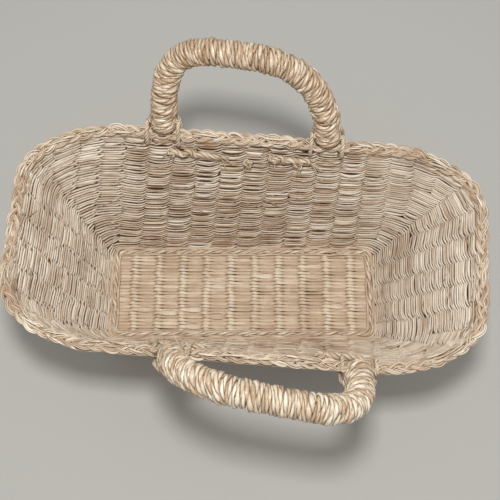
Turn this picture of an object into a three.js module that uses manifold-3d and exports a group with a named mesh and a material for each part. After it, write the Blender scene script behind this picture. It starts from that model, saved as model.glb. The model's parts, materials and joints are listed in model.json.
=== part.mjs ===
// A woven grass basket with two wrapped carrying handles, lashed to a thick rim.
// Millimetres, +Z up. The origin is under the middle of the basket, on the plane it stands on.
// The long sides lie along X, and the back handle is on the +Y side.
// The weave is drawn coarse: each weft course stands for about five rows of fine twined grass.

import * as THREE from 'three';
import { mergeVertices } from 'three/addons/utils/BufferGeometryUtils.js';
import Module from 'manifold-3d';

// Outline of the body, measured on the middle of the wall and of the rim
const baseLength = 275;
const baseWidth = 100;
const baseCornerLength = 12;
const baseCornerWidth = 12;
const rimLength = 421;
const rimWidth = 206;
const rimCornerLength = 92;
const rimCornerWidth = 58;
const rimHeight = 150;
const rimTwist = THREE.MathUtils.degToRad(-4.6);
const rimRadius = 6.5;
// The base sits a little off the middle of the rim
const baseShiftX = -4;
const baseShiftY = -2.7;

// Stakes: the upright frame that the weft goes round
const crossStakeCount = 10;
const endStakeCount = 4;
const cornerStakeCount = 3;
const crossPitchAtBase = 25;
const crossPitchAtRim = 22.5;
const endPitchAtBase = 20;
const endPitchAtRim = 23;
const stakeWidth = 4.5;
const stakeThickness = 1.8;
const cornerStakeTipWidth = 2;

// Creases: each wall corner is pushed out along one stake, a share of the way round from its end wall
const backRightCrease = 0.34;
const backLeftCrease = 0.25;
const frontLeftCrease = 0.3;
const frontRightCrease = 0.3;
const backFold = 10.3;
const frontFold = 6;
const foldTurn = THREE.MathUtils.degToRad(37);
const foldFade = 1.5;

// Weft courses of the wall, and the strips that close the base
const courseCount = 9;
const courseGap = 1;
const weftThickness = 1.4;
const baseStripCount = 5;

// The two border rings where the wall turns up from the base
const footHeight = 3.8;
const footOverhang = 1;
const borderInset = 10;
const borderGap = 1.5;
const innerBorderHeight = 5;

// Handles, each measured in the frame of the rim on its own side
const backHandleHalfSpan = 76;
const backHandleShift = -9.5;
const backHandleRise = 85.7;
const frontHandleHalfSpan = 80;
const frontHandleShift = -25;
const frontHandleRise = 83.5;
const handleLean = THREE.MathUtils.degToRad(32.5);
const handleSkew = THREE.MathUtils.degToRad(7);
const tightShoulder = 4.2;
const looseShoulder = 2.4;
const handleCoreRadius = 8.4;
const footStart = 4;

// The grass wound round each handle, as one flat band
const wrapLoops = 24;
const wrapSteps = 12;
const wrapThickness = 3.2;
const wrapGap = 1.1;
const wrapShoulder = 0.8;

// Lashings that tie each handle foot to the rim, and their ends inside the wall
const lashingRadius = 1.7;
const lashingRise = 15;
const tailRadius = 2.4;
const tailEndRadius = 1.44;
const tailDrop = 17;
const backLeftTailStart = -79;
const backLeftTailEnd = -29;
const backRightTailStart = 16;
const backRightTailEnd = 54;
const frontLeftTailStart = -76;
const frontLeftTailEnd = -26;
const frontRightTailStart = 68;
const frontRightTailEnd = 107;

// Fits
const clearance = 0.3;
const weftClearance = 0.5;
const hingeClearance = 0.6;

const backHandle = {
  side: 'back',
  turn: 0,
  halfSpan: backHandleHalfSpan,
  shift: backHandleShift,
  rise: backHandleRise,
};
const frontHandle = {
  side: 'front',
  turn: Math.PI,
  halfSpan: frontHandleHalfSpan,
  shift: frontHandleShift,
  rise: frontHandleRise,
};
const handles = [backHandle, frontHandle];
const corners = [
  { name: 'back_right', crease: backRightCrease, fold: backFold, facing: [1, 1] },
  { name: 'back_left', crease: backLeftCrease, fold: backFold, facing: [-1, 1] },
  { name: 'front_left', crease: frontLeftCrease, fold: frontFold, facing: [-1, -1] },
  { name: 'front_right', crease: frontRightCrease, fold: frontFold, facing: [1, -1] },
];
const tails = [
  { name: 'back_left_tail', side: 'back', from: backLeftTailStart, to: backLeftTailEnd },
  { name: 'back_right_tail', side: 'back', from: backRightTailStart, to: backRightTailEnd },
  { name: 'front_left_tail', side: 'front', from: frontLeftTailStart, to: frontLeftTailEnd },
  { name: 'front_right_tail', side: 'front', from: frontRightTailStart, to: frontRightTailEnd },
];

// Faces round and along the pieces
const rimSides = 10;
const cornerSteps = 8;
const coreSides = 10;
const coreSteps = 28;
const lashingSides = 5;
const lashingBendSteps = 6;
const archSamples = 400;
const lengthSamples = 1200;
const tailSides = 6;
const tailSteps = 7;
const saddleSides = 32;
const mergeTolerance = 1e-3;

const wasm = await Module();
wasm.setup();

const straw = { color: 0xc9ae86, roughness: 0.75, metalness: 0 };
const paleStraw = { color: 0xd8c29c, roughness: 0.7, metalness: 0 };
const goldenStraw = { color: 0xcba571, roughness: 0.55, metalness: 0 };
const dryCane = { color: 0xb8935f, roughness: 0.7, metalness: 0 };

const basket = new THREE.Group();

function addMesh(name, geometry, look, parent = basket) {
  const mesh = new THREE.Mesh(geometry, new THREE.MeshStandardMaterial(look));
  mesh.name = name;
  parent.add(mesh);
  return mesh;
}

// Solids from sections

function signedVolume(positions, index) {
  const corners = [new THREE.Vector3(), new THREE.Vector3(), new THREE.Vector3()];
  let volume = 0;
  for (let i = 0; i < index.length; i += 3) {
    corners.forEach((corner, k) => corner.fromArray(positions, index[i + k] * 3));
    volume += corners[0].dot(corners[1].clone().cross(corners[2])) / 6;
  }
  return volume;
}

function asGeometry(positions, index) {
  if (signedVolume(positions, index) < 0) index.reverse();
  const geometry = new THREE.BufferGeometry();
  geometry.setAttribute('position', new THREE.Float32BufferAttribute(positions, 3));
  geometry.setIndex(index);
  return geometry;
}

// Joins a row of equal sections by their sides. An open row gets flat ends.
function loft(sections, closed = false) {
  const sides = sections[0].length;
  const positions = sections.flat().flatMap((p) => [p.x, p.y, p.z]);
  const index = [];
  const joins = closed ? sections.length : sections.length - 1;
  for (let i = 0; i < joins; i++) {
    const here = i * sides;
    const next = ((i + 1) % sections.length) * sides;
    for (let k = 0; k < sides; k++) {
      const l = (k + 1) % sides;
      index.push(here + k, here + l, next + l, here + k, next + l, next + k);
    }
  }
  if (!closed) {
    const last = (sections.length - 1) * sides;
    for (let k = 1; k < sides - 1; k++) {
      index.push(0, k + 1, k, last, last + k, last + k + 1);
    }
  }
  return asGeometry(positions, index);
}

// A point moved from a centre along two directions.
function offset(centre, u, alongU, v, alongV) {
  return centre.clone().addScaledVector(u, alongU).addScaledVector(v, alongV);
}

// Sections of a round tube along points, carried without twist.
function tubeSections(points, radiusAt, sides) {
  const tangents = points.map((p, i) => {
    const before = points[Math.max(0, i - 1)];
    const after = points[Math.min(points.length - 1, i + 1)];
    return after.clone().sub(before).normalize();
  });
  const start = Math.abs(tangents[0].x) < 0.9 ? new THREE.Vector3(1, 0, 0) : new THREE.Vector3(0, 0, 1);
  let side = start;
  return points.map((p, i) => {
    side = side.clone().addScaledVector(tangents[i], -side.dot(tangents[i])).normalize();
    const up = tangents[i].clone().cross(side);
    const radius = radiusAt(i);
    return Array.from({ length: sides }, (_, k) => {
      const angle = (2 * Math.PI * k) / sides;
      return offset(p, side, radius * Math.cos(angle), up, radius * Math.sin(angle));
    });
  });
}

// Joining and cutting

function toManifold(geometry) {
  const bare = new THREE.BufferGeometry();
  bare.setAttribute('position', geometry.getAttribute('position'));
  bare.setIndex(geometry.index);
  const merged = mergeVertices(bare, mergeTolerance);
  const vertProperties = merged.getAttribute('position').array;
  const triVerts = new Uint32Array(merged.index.array);
  return new wasm.Manifold(new wasm.Mesh({ numProp: 3, vertProperties, triVerts }));
}

function fromManifold(solid) {
  const { vertProperties, triVerts } = solid.getMesh();
  const geometry = new THREE.BufferGeometry();
  geometry.setAttribute('position', new THREE.BufferAttribute(vertProperties, 3));
  geometry.setIndex(new THREE.BufferAttribute(triVerts, 1));
  return geometry;
}

function cut(geometry, cutters) {
  const solid = cutters.reduce((left, cutter) => left.subtract(toManifold(cutter)), toManifold(geometry));
  return fromManifold(solid);
}

// A round bar along the rim's local X, centred on its axis.
function barAlongRim(radius, from, to, sides) {
  const bar = new THREE.CylinderGeometry(radius, radius, to - from, sides);
  bar.rotateZ(Math.PI / 2);
  bar.translate((from + to) / 2, 0, 0);
  return bar;
}

// Outlines

// A rectangle with elliptical corners, walked counterclockwise from the middle of its right end.
function bodyOutline(length, width, cornerLength, cornerWidth) {
  const halfLength = length / 2;
  const halfWidth = width / 2;
  const right = halfLength - cornerLength;
  const back = halfWidth - cornerWidth;
  const path = new THREE.Path();
  const corner = (x, y, start) =>
    path.absellipse(x, y, cornerLength, cornerWidth, start, start + Math.PI / 2);
  path.moveTo(halfLength, 0);
  path.lineTo(halfLength, back);
  corner(right, back, 0);
  path.lineTo(-right, halfWidth);
  corner(-right, back, Math.PI / 2);
  path.lineTo(-halfLength, -back);
  corner(-right, -back, Math.PI);
  path.lineTo(right, -halfWidth);
  corner(right, -back, 1.5 * Math.PI);
  path.lineTo(halfLength, 0);
  const around = path.getLength();
  const at = (distance) => path.getPoint(THREE.MathUtils.euclideanModulo(distance / around, 1));
  const corners = path.curves.filter((curve) => curve.isEllipseCurve).flatMap((curve) =>
    Array.from({ length: cornerSteps + 1 }, (_, i) => curve.getPoint(i / cornerSteps)));
  return { quarter: around / 4, at, corners };
}

const onFloor = (x, y, z) => new THREE.Vector3(x + baseShiftX, y + baseShiftY, z);
const floorLevel = footHeight + clearance + stakeThickness / 2;
const baseOutline = bodyOutline(baseLength, baseWidth, baseCornerLength, baseCornerWidth);
const rimOutline = bodyOutline(rimLength, rimWidth, rimCornerLength, rimCornerWidth);

function turned(x, y, z, angle) {
  return new THREE.Vector3(x, y, z).applyAxisAngle(new THREE.Vector3(0, 0, 1), angle);
}

// Stakes

// Shares of the way round a corner where its stakes stand, from the crease on, measured from its end wall.
function cornerShares({ crease }) {
  return Array.from({ length: cornerStakeCount }, (_, k) =>
    THREE.MathUtils.lerp(crease, 1, k / cornerStakeCount));
}

// Where the stakes stand along an outline, counterclockwise from the right end.
function stakeDistances(outline, crossPitch, endPitch) {
  const middle = (count, pitch) => Array.from({ length: count }, (_, i) => (i - (count - 1) / 2) * pitch);
  const groups = [0, 1, 2, 3].map((side) => {
    const offsets = side % 2 ? middle(crossStakeCount, crossPitch) : middle(endStakeCount, endPitch);
    return offsets.map((d) => side * outline.quarter + d);
  });
  return groups.flatMap((group, side) => {
    const last = group[group.length - 1];
    const next = side < 3 ? groups[side + 1][0] : groups[0][0] + 4 * outline.quarter;
    const shares = cornerShares(corners[side]);
    const onward = side % 2 ? shares.map((share) => 1 - share).reverse() : shares;
    return [...group, ...onward.map((share) => THREE.MathUtils.lerp(last, next, share))];
  });
}

const atBase = stakeDistances(baseOutline, crossPitchAtBase, endPitchAtBase).map((distance) => {
  const { x, y } = baseOutline.at(distance);
  return onFloor(x, y, floorLevel);
});
const atRim = stakeDistances(rimOutline, crossPitchAtRim, endPitchAtRim).map((distance) => {
  const { x, y } = rimOutline.at(distance);
  return turned(x, y, rimHeight, rimTwist);
});
const stakeCount = atBase.length;
const endToLongSide = endStakeCount + cornerStakeCount;
const longSideToEnd = crossStakeCount + cornerStakeCount;
const sideStart = [0, endToLongSide, endToLongSide + longSideToEnd, 2 * endToLongSide + longSideToEnd];
const cornerStart = sideStart.map((first, side) => first + (side % 2 ? crossStakeCount : endStakeCount));

// How far the middle of each stake is pushed out: the crease of a corner most, then less towards the long side
const folds = atBase.map(() => new THREE.Vector3());
corners.forEach((corner, side) => {
  const [x, y] = corner.facing;
  cornerShares(corner).forEach((share, k) => {
    const n = side % 2 ? cornerStakeCount - 1 - k : k;
    const push = corner.fold * ((1 - share) / (1 - corner.crease)) ** foldFade;
    folds[cornerStart[side] + n].set(x * push * Math.cos(foldTurn), y * push * Math.sin(foldTurn), 0);
  });
});

// Each stake's line, its outward normal, the direction of its width and the length of it below the rim
const stakes = atBase.map((foot, i) => {
  const before = (i + stakeCount - 1) % stakeCount;
  const after = (i + 1) % stakeCount;
  const along = atRim[i].clone().sub(foot).normalize();
  const middle = (k) => atBase[k].clone().lerp(atRim[k], 0.5).add(folds[k]);
  const round = middle(after).sub(middle(before)).normalize();
  const outward = round.clone().cross(along).normalize();
  const across = along.clone().cross(outward);
  const length = foot.distanceTo(atRim[i]);
  const askew = Math.abs(along.dot(atRim[after].clone().sub(atRim[before]).normalize()));
  const topGap = (rimRadius + clearance + (askew * stakeWidth) / 2) / Math.sqrt(1 - askew ** 2);
  return { foot, along, outward, across, length, top: length - topGap, fold: folds[i] };
});

function onStake(i, distance) {
  const { foot, along, fold, top } = stakes[i];
  const share = distance / top;
  return offset(foot, along, distance, fold, 4 * share * (1 - share));
}

function isCornerStake(i) {
  return cornerStart.some((first) => i >= first && i < first + cornerStakeCount);
}

function stakeWidthAt(i, distance) {
  if (!isCornerStake(i)) return stakeWidth;
  return THREE.MathUtils.lerp(cornerStakeTipWidth, stakeWidth, distance / stakes[i].length);
}

function stakeSection(i, distance, centre = onStake(i, distance)) {
  const { outward, across } = stakes[i];
  const halfWidth = stakeWidthAt(i, distance) / 2;
  const halfThick = stakeThickness / 2;
  return [[-1, -1], [1, -1], [1, 1], [-1, 1]].map(([a, b]) =>
    offset(centre, across, a * halfWidth, outward, b * halfThick));
}

// The mitred section where a cross stake turns up from the base.
function bendSection(i, side) {
  const { foot, outward } = stakes[i];
  const down = new THREE.Vector3(0, 0, -1);
  const halfAngle = outward.angleTo(down) / 2;
  const corner = outward.clone().add(down).normalize();
  const reach = stakeThickness / 2 / Math.cos(halfAngle);
  const across = new THREE.Vector3(-side, 0, 0);
  return [[-1, -1], [1, -1], [1, 1], [-1, 1]].map(([a, b]) =>
    offset(foot, across, (a * stakeWidth) / 2, corner, b * reach));
}

function crossStake(number) {
  const back = sideStart[1] + crossStakeCount - number;
  const front = sideStart[3] + number - 1;
  const swap = (section) => [1, 0, 3, 2].map((k) => section[k]);
  const backTop = stakeSection(back, stakes[back].top);
  const frontTop = stakeSection(front, stakes[front].top);
  return loft([backTop, bendSection(back, 1), swap(bendSection(front, -1)), swap(frontTop)]);
}

function singleStake(i) {
  const { length, top } = stakes[i];
  const perHeight = length / (rimHeight - floorLevel);
  const bottom = (footHeight + clearance - floorLevel) * perHeight + stakeThickness / 2;
  const bends = Array.from({ length: courseCount - 1 }, (_, k) => courseEdge(i, (k + 1) / courseCount));
  return loft([bottom, ...(isCornerStake(i) ? bends : []), top].map((distance) => stakeSection(i, distance)));
}

// Weft

// How far the weft's middle stands off a stake, so that its near face clears the stake's width
// on the way to the next stake. That face falls this much over the run between the two.
function clearingOffset(run, width, fall) {
  const share = width / 2 / run;
  const face = (stakeThickness / 2 + weftClearance + share * fall) / (1 - share);
  return face + weftThickness / 2;
}

// The same where the stakes stand in a straight row, and the weft swings as far to both sides.
function straightOffset(spacing, width) {
  const rounds = 6;
  let swing = 0;
  for (let i = 0; i < rounds; i++) swing = clearingOffset(spacing, width, swing + weftThickness / 2);
  return swing;
}

const firstCourseLevel = floorLevel + stakeThickness / 2 + clearance;

function courseEdge(i, share) {
  const { length, top } = stakes[i];
  const low = ((firstCourseLevel - floorLevel) / (rimHeight - floorLevel)) * length;
  return THREE.MathUtils.lerp(low, top, share);
}

// A course covers each stake on one side, and on the other side the stake stands in an open groove.
const grooveDepth = stakeThickness / 2 + weftClearance;
const coveredReach = grooveDepth + weftThickness;
const openReach = stakeThickness / 2;
const pointsPerStake = 5;

// The course's points at one stake: the one that covers it, then four round the groove.
function coursePoints(i, distance, sign) {
  const { outward, across } = stakes[i];
  const centre = onStake(i, distance);
  const groove = stakeWidthAt(i, distance) / 2 + weftClearance;
  const round = [[0, coveredReach], [-groove, -openReach], [-groove, grooveDepth], [groove, grooveDepth],
    [groove, -openReach]];
  return round.map(([side, out]) => offset(centre, across, side, outward, sign * out));
}

function weftCourse(course) {
  const sign = (i) => ((i + course) % 2 ? 1 : -1);
  const gap = course < courseCount - 1 ? courseGap : 0;
  const edge = (share, below) => stakes.flatMap((_, i) =>
    coursePoints(i, courseEdge(i, share) - below, sign(i)));
  const points = [...edge(course / courseCount, 0), ...edge((course + 1) / courseCount, gap)];
  const above = points.length / 2;
  const index = stakes.flatMap((_, i) => {
    const here = i * pointsPerStake;
    const next = ((i + 1) % stakeCount) * pointsPerStake;
    const [cover, mouth, groove, farGroove, farMouth] = [here, here + 1, here + 2, here + 3, here + 4];
    const [nextCover, nextMouth, nextGroove] = [next, next + 1, next + 2];
    const flats = [[cover, groove, farGroove], [cover, farGroove, nextMouth],
      [farGroove, nextGroove, nextMouth], [farGroove, nextCover, nextGroove],
      [farGroove, farMouth, nextCover]];
    const walls = [[cover, nextMouth], [groove, mouth], [farGroove, groove], [farMouth, farGroove],
      [nextCover, farMouth]];
    const faces = [
      ...flats,
      ...flats.map((face) => face.map((k) => k + above).reverse()),
      ...walls.flatMap(([a, b]) => [[a, b, b + above], [a, b + above, a + above]]),
    ];
    return faces.flatMap((face) => (sign(i) > 0 ? face : face.reverse()));
  });
  return asGeometry(points.flatMap((p) => [p.x, p.y, p.z]), index);
}

// Where the handles meet the rim

// The turned frame of one long side of the rim: its X runs along the rim's axis.
function rimFrame(turn) {
  const frame = new THREE.Group();
  frame.rotation.z = rimTwist + turn;
  frame.position.copy(turned(0, rimWidth / 2, rimHeight, rimTwist + turn));
  frame.updateMatrix();
  return frame;
}

const wrapInner = (handleCoreRadius + clearance) / Math.cos(Math.PI / wrapSteps);
const wrapMiddle = wrapInner + wrapThickness / 2;
const legRadius = wrapMiddle + wrapThickness / 2;
const lashingAside = legRadius + 2 * clearance + lashingRadius;
const lashingTurn = rimRadius + hingeClearance + lashingRadius;

// Slots under the rim that let the lashings through the top of the wall
const lashingSlots = handles.flatMap(({ turn, halfSpan, shift }) =>
  [-1, 1].flatMap((foot) =>
    [-1, 1].map((side) => {
      const middle = shift + foot * halfSpan + side * lashingAside;
      const half = lashingRadius + hingeClearance;
      const slot = barAlongRim(lashingTurn + half, middle - half, middle + half, saddleSides);
      return slot.applyMatrix4(rimFrame(turn).matrix);
    })));

// The body's stakes and weft

for (let n = 1; n <= crossStakeCount; n++) {
  addMesh(`cross_stake_${String(n).padStart(2, '0')}`, cut(crossStake(n), lashingSlots), paleStraw);
}
['right', 'left'].forEach((end, k) => {
  for (let n = 1; n <= endStakeCount; n++) {
    addMesh(`${end}_stake_${n}`, singleStake(sideStart[2 * k] + n - 1), paleStraw);
  }
});
corners.forEach(({ name }, side) => {
  for (let n = 1; n <= cornerStakeCount; n++) {
    const stake = singleStake(cornerStart[side] + n - 1);
    addMesh(`${name}_corner_stake_${n}`, cut(stake, lashingSlots), paleStraw);
  }
});
for (let course = 0; course < courseCount; course++) {
  addMesh(`weft_course_${course + 1}`, cut(weftCourse(course), lashingSlots), straw);
}

function baseStrip(number) {
  const halfWidth = baseWidth / 2 - borderInset - clearance;
  const pitch = (2 * halfWidth + clearance) / baseStripCount;
  const low = -halfWidth + (number - 1) * pitch;
  const high = low + pitch - clearance;
  const swing = straightOffset(crossPitchAtBase, stakeWidth);
  const reach = baseLength / 2 - borderInset - clearance;
  const places = Array.from({ length: crossStakeCount }, (_, i) => ({
    x: (i - (crossStakeCount - 1) / 2) * crossPitchAtBase,
    rise: (i + number) % 2 ? swing : -swing,
  }));
  return loft([{ x: -reach, rise: 0 }, ...places, { x: reach, rise: 0 }].map(({ x, rise }) =>
    [[low, -1], [high, -1], [high, 1], [low, 1]].map(([y, side]) =>
      onFloor(x, y, floorLevel + rise + (side * weftThickness) / 2))));
}

for (let n = 1; n <= baseStripCount; n++) addMesh(`base_strip_${n}`, baseStrip(n), straw);

// Borders and rim

// A flat ring that follows the base outline between two insets.
function borderRing(outerInset, innerInset, bottom, top) {
  const [outer, inner] = [outerInset, innerInset].map((inset) =>
    bodyOutline(baseLength - 2 * inset, baseWidth - 2 * inset,
      baseCornerLength - inset, baseCornerWidth - inset));
  return loft(outer.corners.map((at, i) =>
    [[at, bottom], [inner.corners[i], bottom], [inner.corners[i], top], [at, top]].map(([{ x, y }, z]) =>
      onFloor(x, y, z))), true);
}

const steepestFlare = Math.atan((rimLength - baseLength) / 2 / (rimHeight - floorLevel));
const wallInset = coveredReach / Math.cos(steepestFlare) + borderGap;
addMesh('foot_border', borderRing(-footOverhang, borderInset, 0, footHeight), paleStraw);
addMesh('inner_border',
  borderRing(wallInset, borderInset, firstCourseLevel, firstCourseLevel + innerBorderHeight), paleStraw);

// A ten-sided tube along the rim's outline.
function rimTube() {
  const middle = rimOutline.corners.map(({ x, y }) => turned(x, y, rimHeight, rimTwist));
  const up = new THREE.Vector3(0, 0, 1);
  const sections = middle.map((centre, i) => {
    const [before, after] = [-1, 1].map((step) => middle[(i + step + middle.length) % middle.length]);
    const bisector = [centre.clone().sub(before), after.clone().sub(centre)].map((v) => v.normalize());
    const round = bisector[0].add(bisector[1]).normalize();
    const outward = round.clone().cross(up);
    return Array.from({ length: rimSides }, (_, k) => {
      const angle = (2 * Math.PI * (k + 0.5)) / rimSides;
      return offset(centre, outward, rimRadius * Math.cos(angle), up, rimRadius * Math.sin(angle));
    });
  });
  return loft(sections, true);
}

addMesh('rim', rimTube(), paleStraw);

// Handles, in the turned frame of the rim

// The direction a handle rises in, and the one square to it that points away over its back.
function leaning(angle) {
  const rise = new THREE.Vector3(0, Math.sin(angle), Math.cos(angle));
  const behind = new THREE.Vector3(0, Math.cos(angle), -Math.sin(angle));
  return { rise, behind };
}

// How far each leg leans out: the left one more than the right one.
function leanAt({ halfSpan, shift }, x) {
  return handleLean - (handleSkew * (x - shift)) / halfSpan;
}

// The middle line of the handle: two superellipse quarters, the left shoulder tighter than the right.
function archPoint(handle, angle) {
  const power = angle > Math.PI / 2 ? tightShoulder : looseShoulder;
  const along = Math.cos(angle);
  const up = Math.sin(angle);
  const scale = (Math.abs(along) ** power + up ** power) ** (-1 / power);
  const x = handle.shift + along * scale * handle.halfSpan;
  const { rise } = leaning(leanAt(handle, x));
  return new THREE.Vector3(x, 0, 0).addScaledVector(rise, up * scale * handle.rise);
}

function archLine(handle, startRise) {
  const points = Array.from({ length: archSamples + 1 }, (_, i) =>
    archPoint(handle, (Math.PI * i) / archSamples));
  const kept = points.filter((p) => Math.hypot(p.y, p.z) > startRise);
  const [right, left] = [1, -1].map((foot) => {
    const x = handle.shift + foot * handle.halfSpan;
    const { rise } = leaning(leanAt(handle, x));
    return new THREE.Vector3(x, 0, 0).addScaledVector(rise, startRise);
  });
  const line = new THREE.CatmullRomCurve3([right, ...kept, left], false, 'centripetal');
  line.arcLengthDivisions = lengthSamples;
  return line;
}

function handleCore(handle) {
  const points = archLine(handle, footStart).getSpacedPoints(coreSteps);
  const core = loft(tubeSections(points, () => handleCoreRadius, coreSides));
  const reach = handle.halfSpan + 2 * handleCoreRadius;
  const { shift } = handle;
  const saddle = barAlongRim(rimRadius + hingeClearance, shift - reach, shift + reach, saddleSides);
  return cut(core, [saddle]);
}

// The least distance between points of a winding that are more than half a loop apart.
function leastGap(sections, stepsPerLoop) {
  let least = Infinity;
  sections.forEach((section, i) => {
    sections.slice(i + Math.ceil(stepsPerLoop / 2) + 1).forEach((other) => {
      section.forEach((p) => other.forEach((q) => {
        least = Math.min(least, p.distanceTo(q));
      }));
    });
  });
  return least;
}

// The sections of the grass band round the handle, from the right foot to the left one.
function wrapSections(handle) {
  const line = archLine(handle, rimRadius + hingeClearance + clearance);
  const length = line.getLength();
  const pitch = length / (wrapLoops + 1);
  const { behind } = leaning(handleLean);
  return Array.from({ length: wrapLoops * wrapSteps + 1 }, (_, i) => {
    const share = (0.5 * pitch + (i * pitch) / wrapSteps) / length;
    const centre = line.getPointAt(share);
    const round = line.getTangentAt(share);
    const inPlane = round.clone().cross(behind).normalize();
    const outOfPlane = inPlane.clone().cross(round);
    const step = pitch / 4 / length;
    const behindHere = line.getTangentAt(Math.max(0, share - step));
    const bend = line.getTangentAt(Math.min(1, share + step)).sub(behindHere);
    const curvature = bend.dot(inPlane) / (2 * step * length);
    const angle = (2 * Math.PI * i) / wrapSteps;
    const radial = offset(new THREE.Vector3(), inPlane, Math.cos(angle), outOfPlane, Math.sin(angle));
    const rise = wrapThickness / 2;
    const halfAt = (radius) => (pitch * (1 - curvature * radius * Math.cos(angle)) - wrapGap) / 2;
    const section = [[-1, -rise], [1, -rise], [wrapShoulder, rise / 2], [0, rise], [-wrapShoulder, rise / 2]];
    return section.map(([side, r]) =>
      offset(centre, round, side * halfAt(wrapMiddle + r), radial, wrapMiddle + r));
  });
}

// One cord that hugs the rim on both sides of a foot, crosses over the inside of the leg
// and ends behind it.
function lashingSections(handle, foot) {
  const { rise, behind } = leaning(leanAt(handle, foot));
  const arm = (side, height, out) =>
    offset(new THREE.Vector3(foot + side * lashingAside, 0, 0), rise, height, behind, out);
  const underRim = (side, sign) => Array.from({ length: lashingBendSteps + 1 }, (_, i) => {
    const angle = (Math.PI * i) / lashingBendSteps;
    return arm(side, -lashingTurn * Math.sin(angle), sign * lashingTurn * Math.cos(angle));
  });
  const roundLeg = (sign, turns) => turns.map((degrees) => {
    const angle = THREE.MathUtils.degToRad(degrees);
    const centre = new THREE.Vector3(foot + lashingAside * Math.sin(angle), 0, 0);
    return offset(centre, rise, lashingRise, behind, sign * lashingAside * Math.cos(angle));
  });
  const points = [
    ...roundLeg(1, [-10, -40, -70]), arm(-1, lashingRise / 2, lashingTurn),
    ...underRim(-1, 1), arm(-1, lashingRise / 2, -lashingTurn),
    ...roundLeg(-1, [-60, -30, 0, 30, 60]),
    arm(1, lashingRise / 2, -lashingTurn), ...underRim(1, -1),
    arm(1, lashingRise / 2, lashingTurn), ...roundLeg(1, [70, 40, 10]),
  ];
  return tubeSections(points, () => lashingRadius, lashingSides);
}

for (const handle of handles) {
  const { side, turn, halfSpan, shift } = handle;
  const frame = rimFrame(turn);
  const wrap = wrapSections(handle);
  console.log(`least gap of the ${side} handle's wrap to itself: ${leastGap(wrap, wrapSteps).toFixed(2)} mm`);
  basket.add(frame);
  addMesh(`${side}_handle_core`, handleCore(handle), dryCane, frame);
  addMesh(`${side}_handle_wrap`, loft(wrap), goldenStraw, frame);
  const feet = side === 'back' ? { left: -halfSpan, right: halfSpan } : { left: halfSpan, right: -halfSpan };
  for (const [hand, foot] of Object.entries(feet)) {
    addMesh(`${side}_${hand}_lashing`, loft(lashingSections(handle, shift + foot)), paleStraw, frame);
  }
}

// The twisted cord ends, which lie along the inside of the wall under the rim.
function tail({ side, from, to }) {
  const first = sideStart[side === 'back' ? 1 : 3];
  const direction = side === 'back' ? -1 : 1;
  const points = Array.from({ length: tailSteps }, (_, n) => {
    const place = THREE.MathUtils.lerp(from, to, n / (tailSteps - 1));
    const index = (direction * place) / crossPitchAtRim + (crossStakeCount - 1) / 2;
    const i = first + Math.floor(index);
    const share = index - Math.floor(index);
    const inward = [i, i + 1].map((k) => {
      const depth = coveredReach + clearance + tailRadius;
      return onStake(k, stakes[k].length - tailDrop).addScaledVector(stakes[k].outward, -depth);
    });
    return inward[0].lerp(inward[1], share);
  });
  const taper = (n) => (n === 0 || n === tailSteps - 1 ? tailEndRadius : tailRadius);
  return loft(tubeSections(points, taper, tailSides));
}

tails.forEach((cord) => addMesh(cord.name, tail(cord), paleStraw));

export default basket;
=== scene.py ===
"""A woven grass basket with two wrapped carrying handles.

Every strand is real geometry: twined walls and base, a plaited rim, wound handles and twisted cords.
Metres, +Z up. The back handle is on the +Y side.
"""

import json
import logging
import math
from collections.abc import Callable
from dataclasses import dataclass, field
from enum import Enum
from functools import cache

import bmesh
import bpy
import numpy as np
from mathutils import Matrix, Vector


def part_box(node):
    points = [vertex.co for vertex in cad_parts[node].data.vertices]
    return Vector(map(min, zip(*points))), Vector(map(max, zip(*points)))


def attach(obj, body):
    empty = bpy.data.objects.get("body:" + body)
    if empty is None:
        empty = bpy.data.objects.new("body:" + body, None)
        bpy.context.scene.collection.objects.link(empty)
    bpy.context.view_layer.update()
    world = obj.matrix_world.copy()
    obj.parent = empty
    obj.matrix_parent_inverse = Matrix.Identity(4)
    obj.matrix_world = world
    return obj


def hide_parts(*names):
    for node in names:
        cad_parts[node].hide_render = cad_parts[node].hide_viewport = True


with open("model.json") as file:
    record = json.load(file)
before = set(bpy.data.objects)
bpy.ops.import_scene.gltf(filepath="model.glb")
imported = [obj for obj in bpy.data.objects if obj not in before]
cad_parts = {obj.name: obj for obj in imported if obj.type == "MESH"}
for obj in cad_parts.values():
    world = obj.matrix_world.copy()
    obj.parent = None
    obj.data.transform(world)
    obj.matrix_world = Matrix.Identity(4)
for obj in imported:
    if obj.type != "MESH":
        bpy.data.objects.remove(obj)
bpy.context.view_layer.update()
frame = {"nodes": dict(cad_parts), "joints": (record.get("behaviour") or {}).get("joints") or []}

MM = 0.001
TAU = 2 * math.pi
UP = np.array([0.0, 0.0, 1.0])
MERGE_REACH = 1e-7
LEAST_LENGTH = 1e-12
NOISE_ROUGHNESS = 0.6
# How far apart on the streak noise two strands lie for a whole step of tone.
FIBRE_SPREAD = 7.0
# Three summed waves are divided by this, to stay between about minus one and one.
WAVE_REACH = 2.2
ROPE_WAVE = 23 * MM
# The fewest waves round a closed rope, and one more than the most.
CLOSED_WAVES = (5, 40)
SPLINE_STEPS = 12

log = logging.getLogger("basket")


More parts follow.
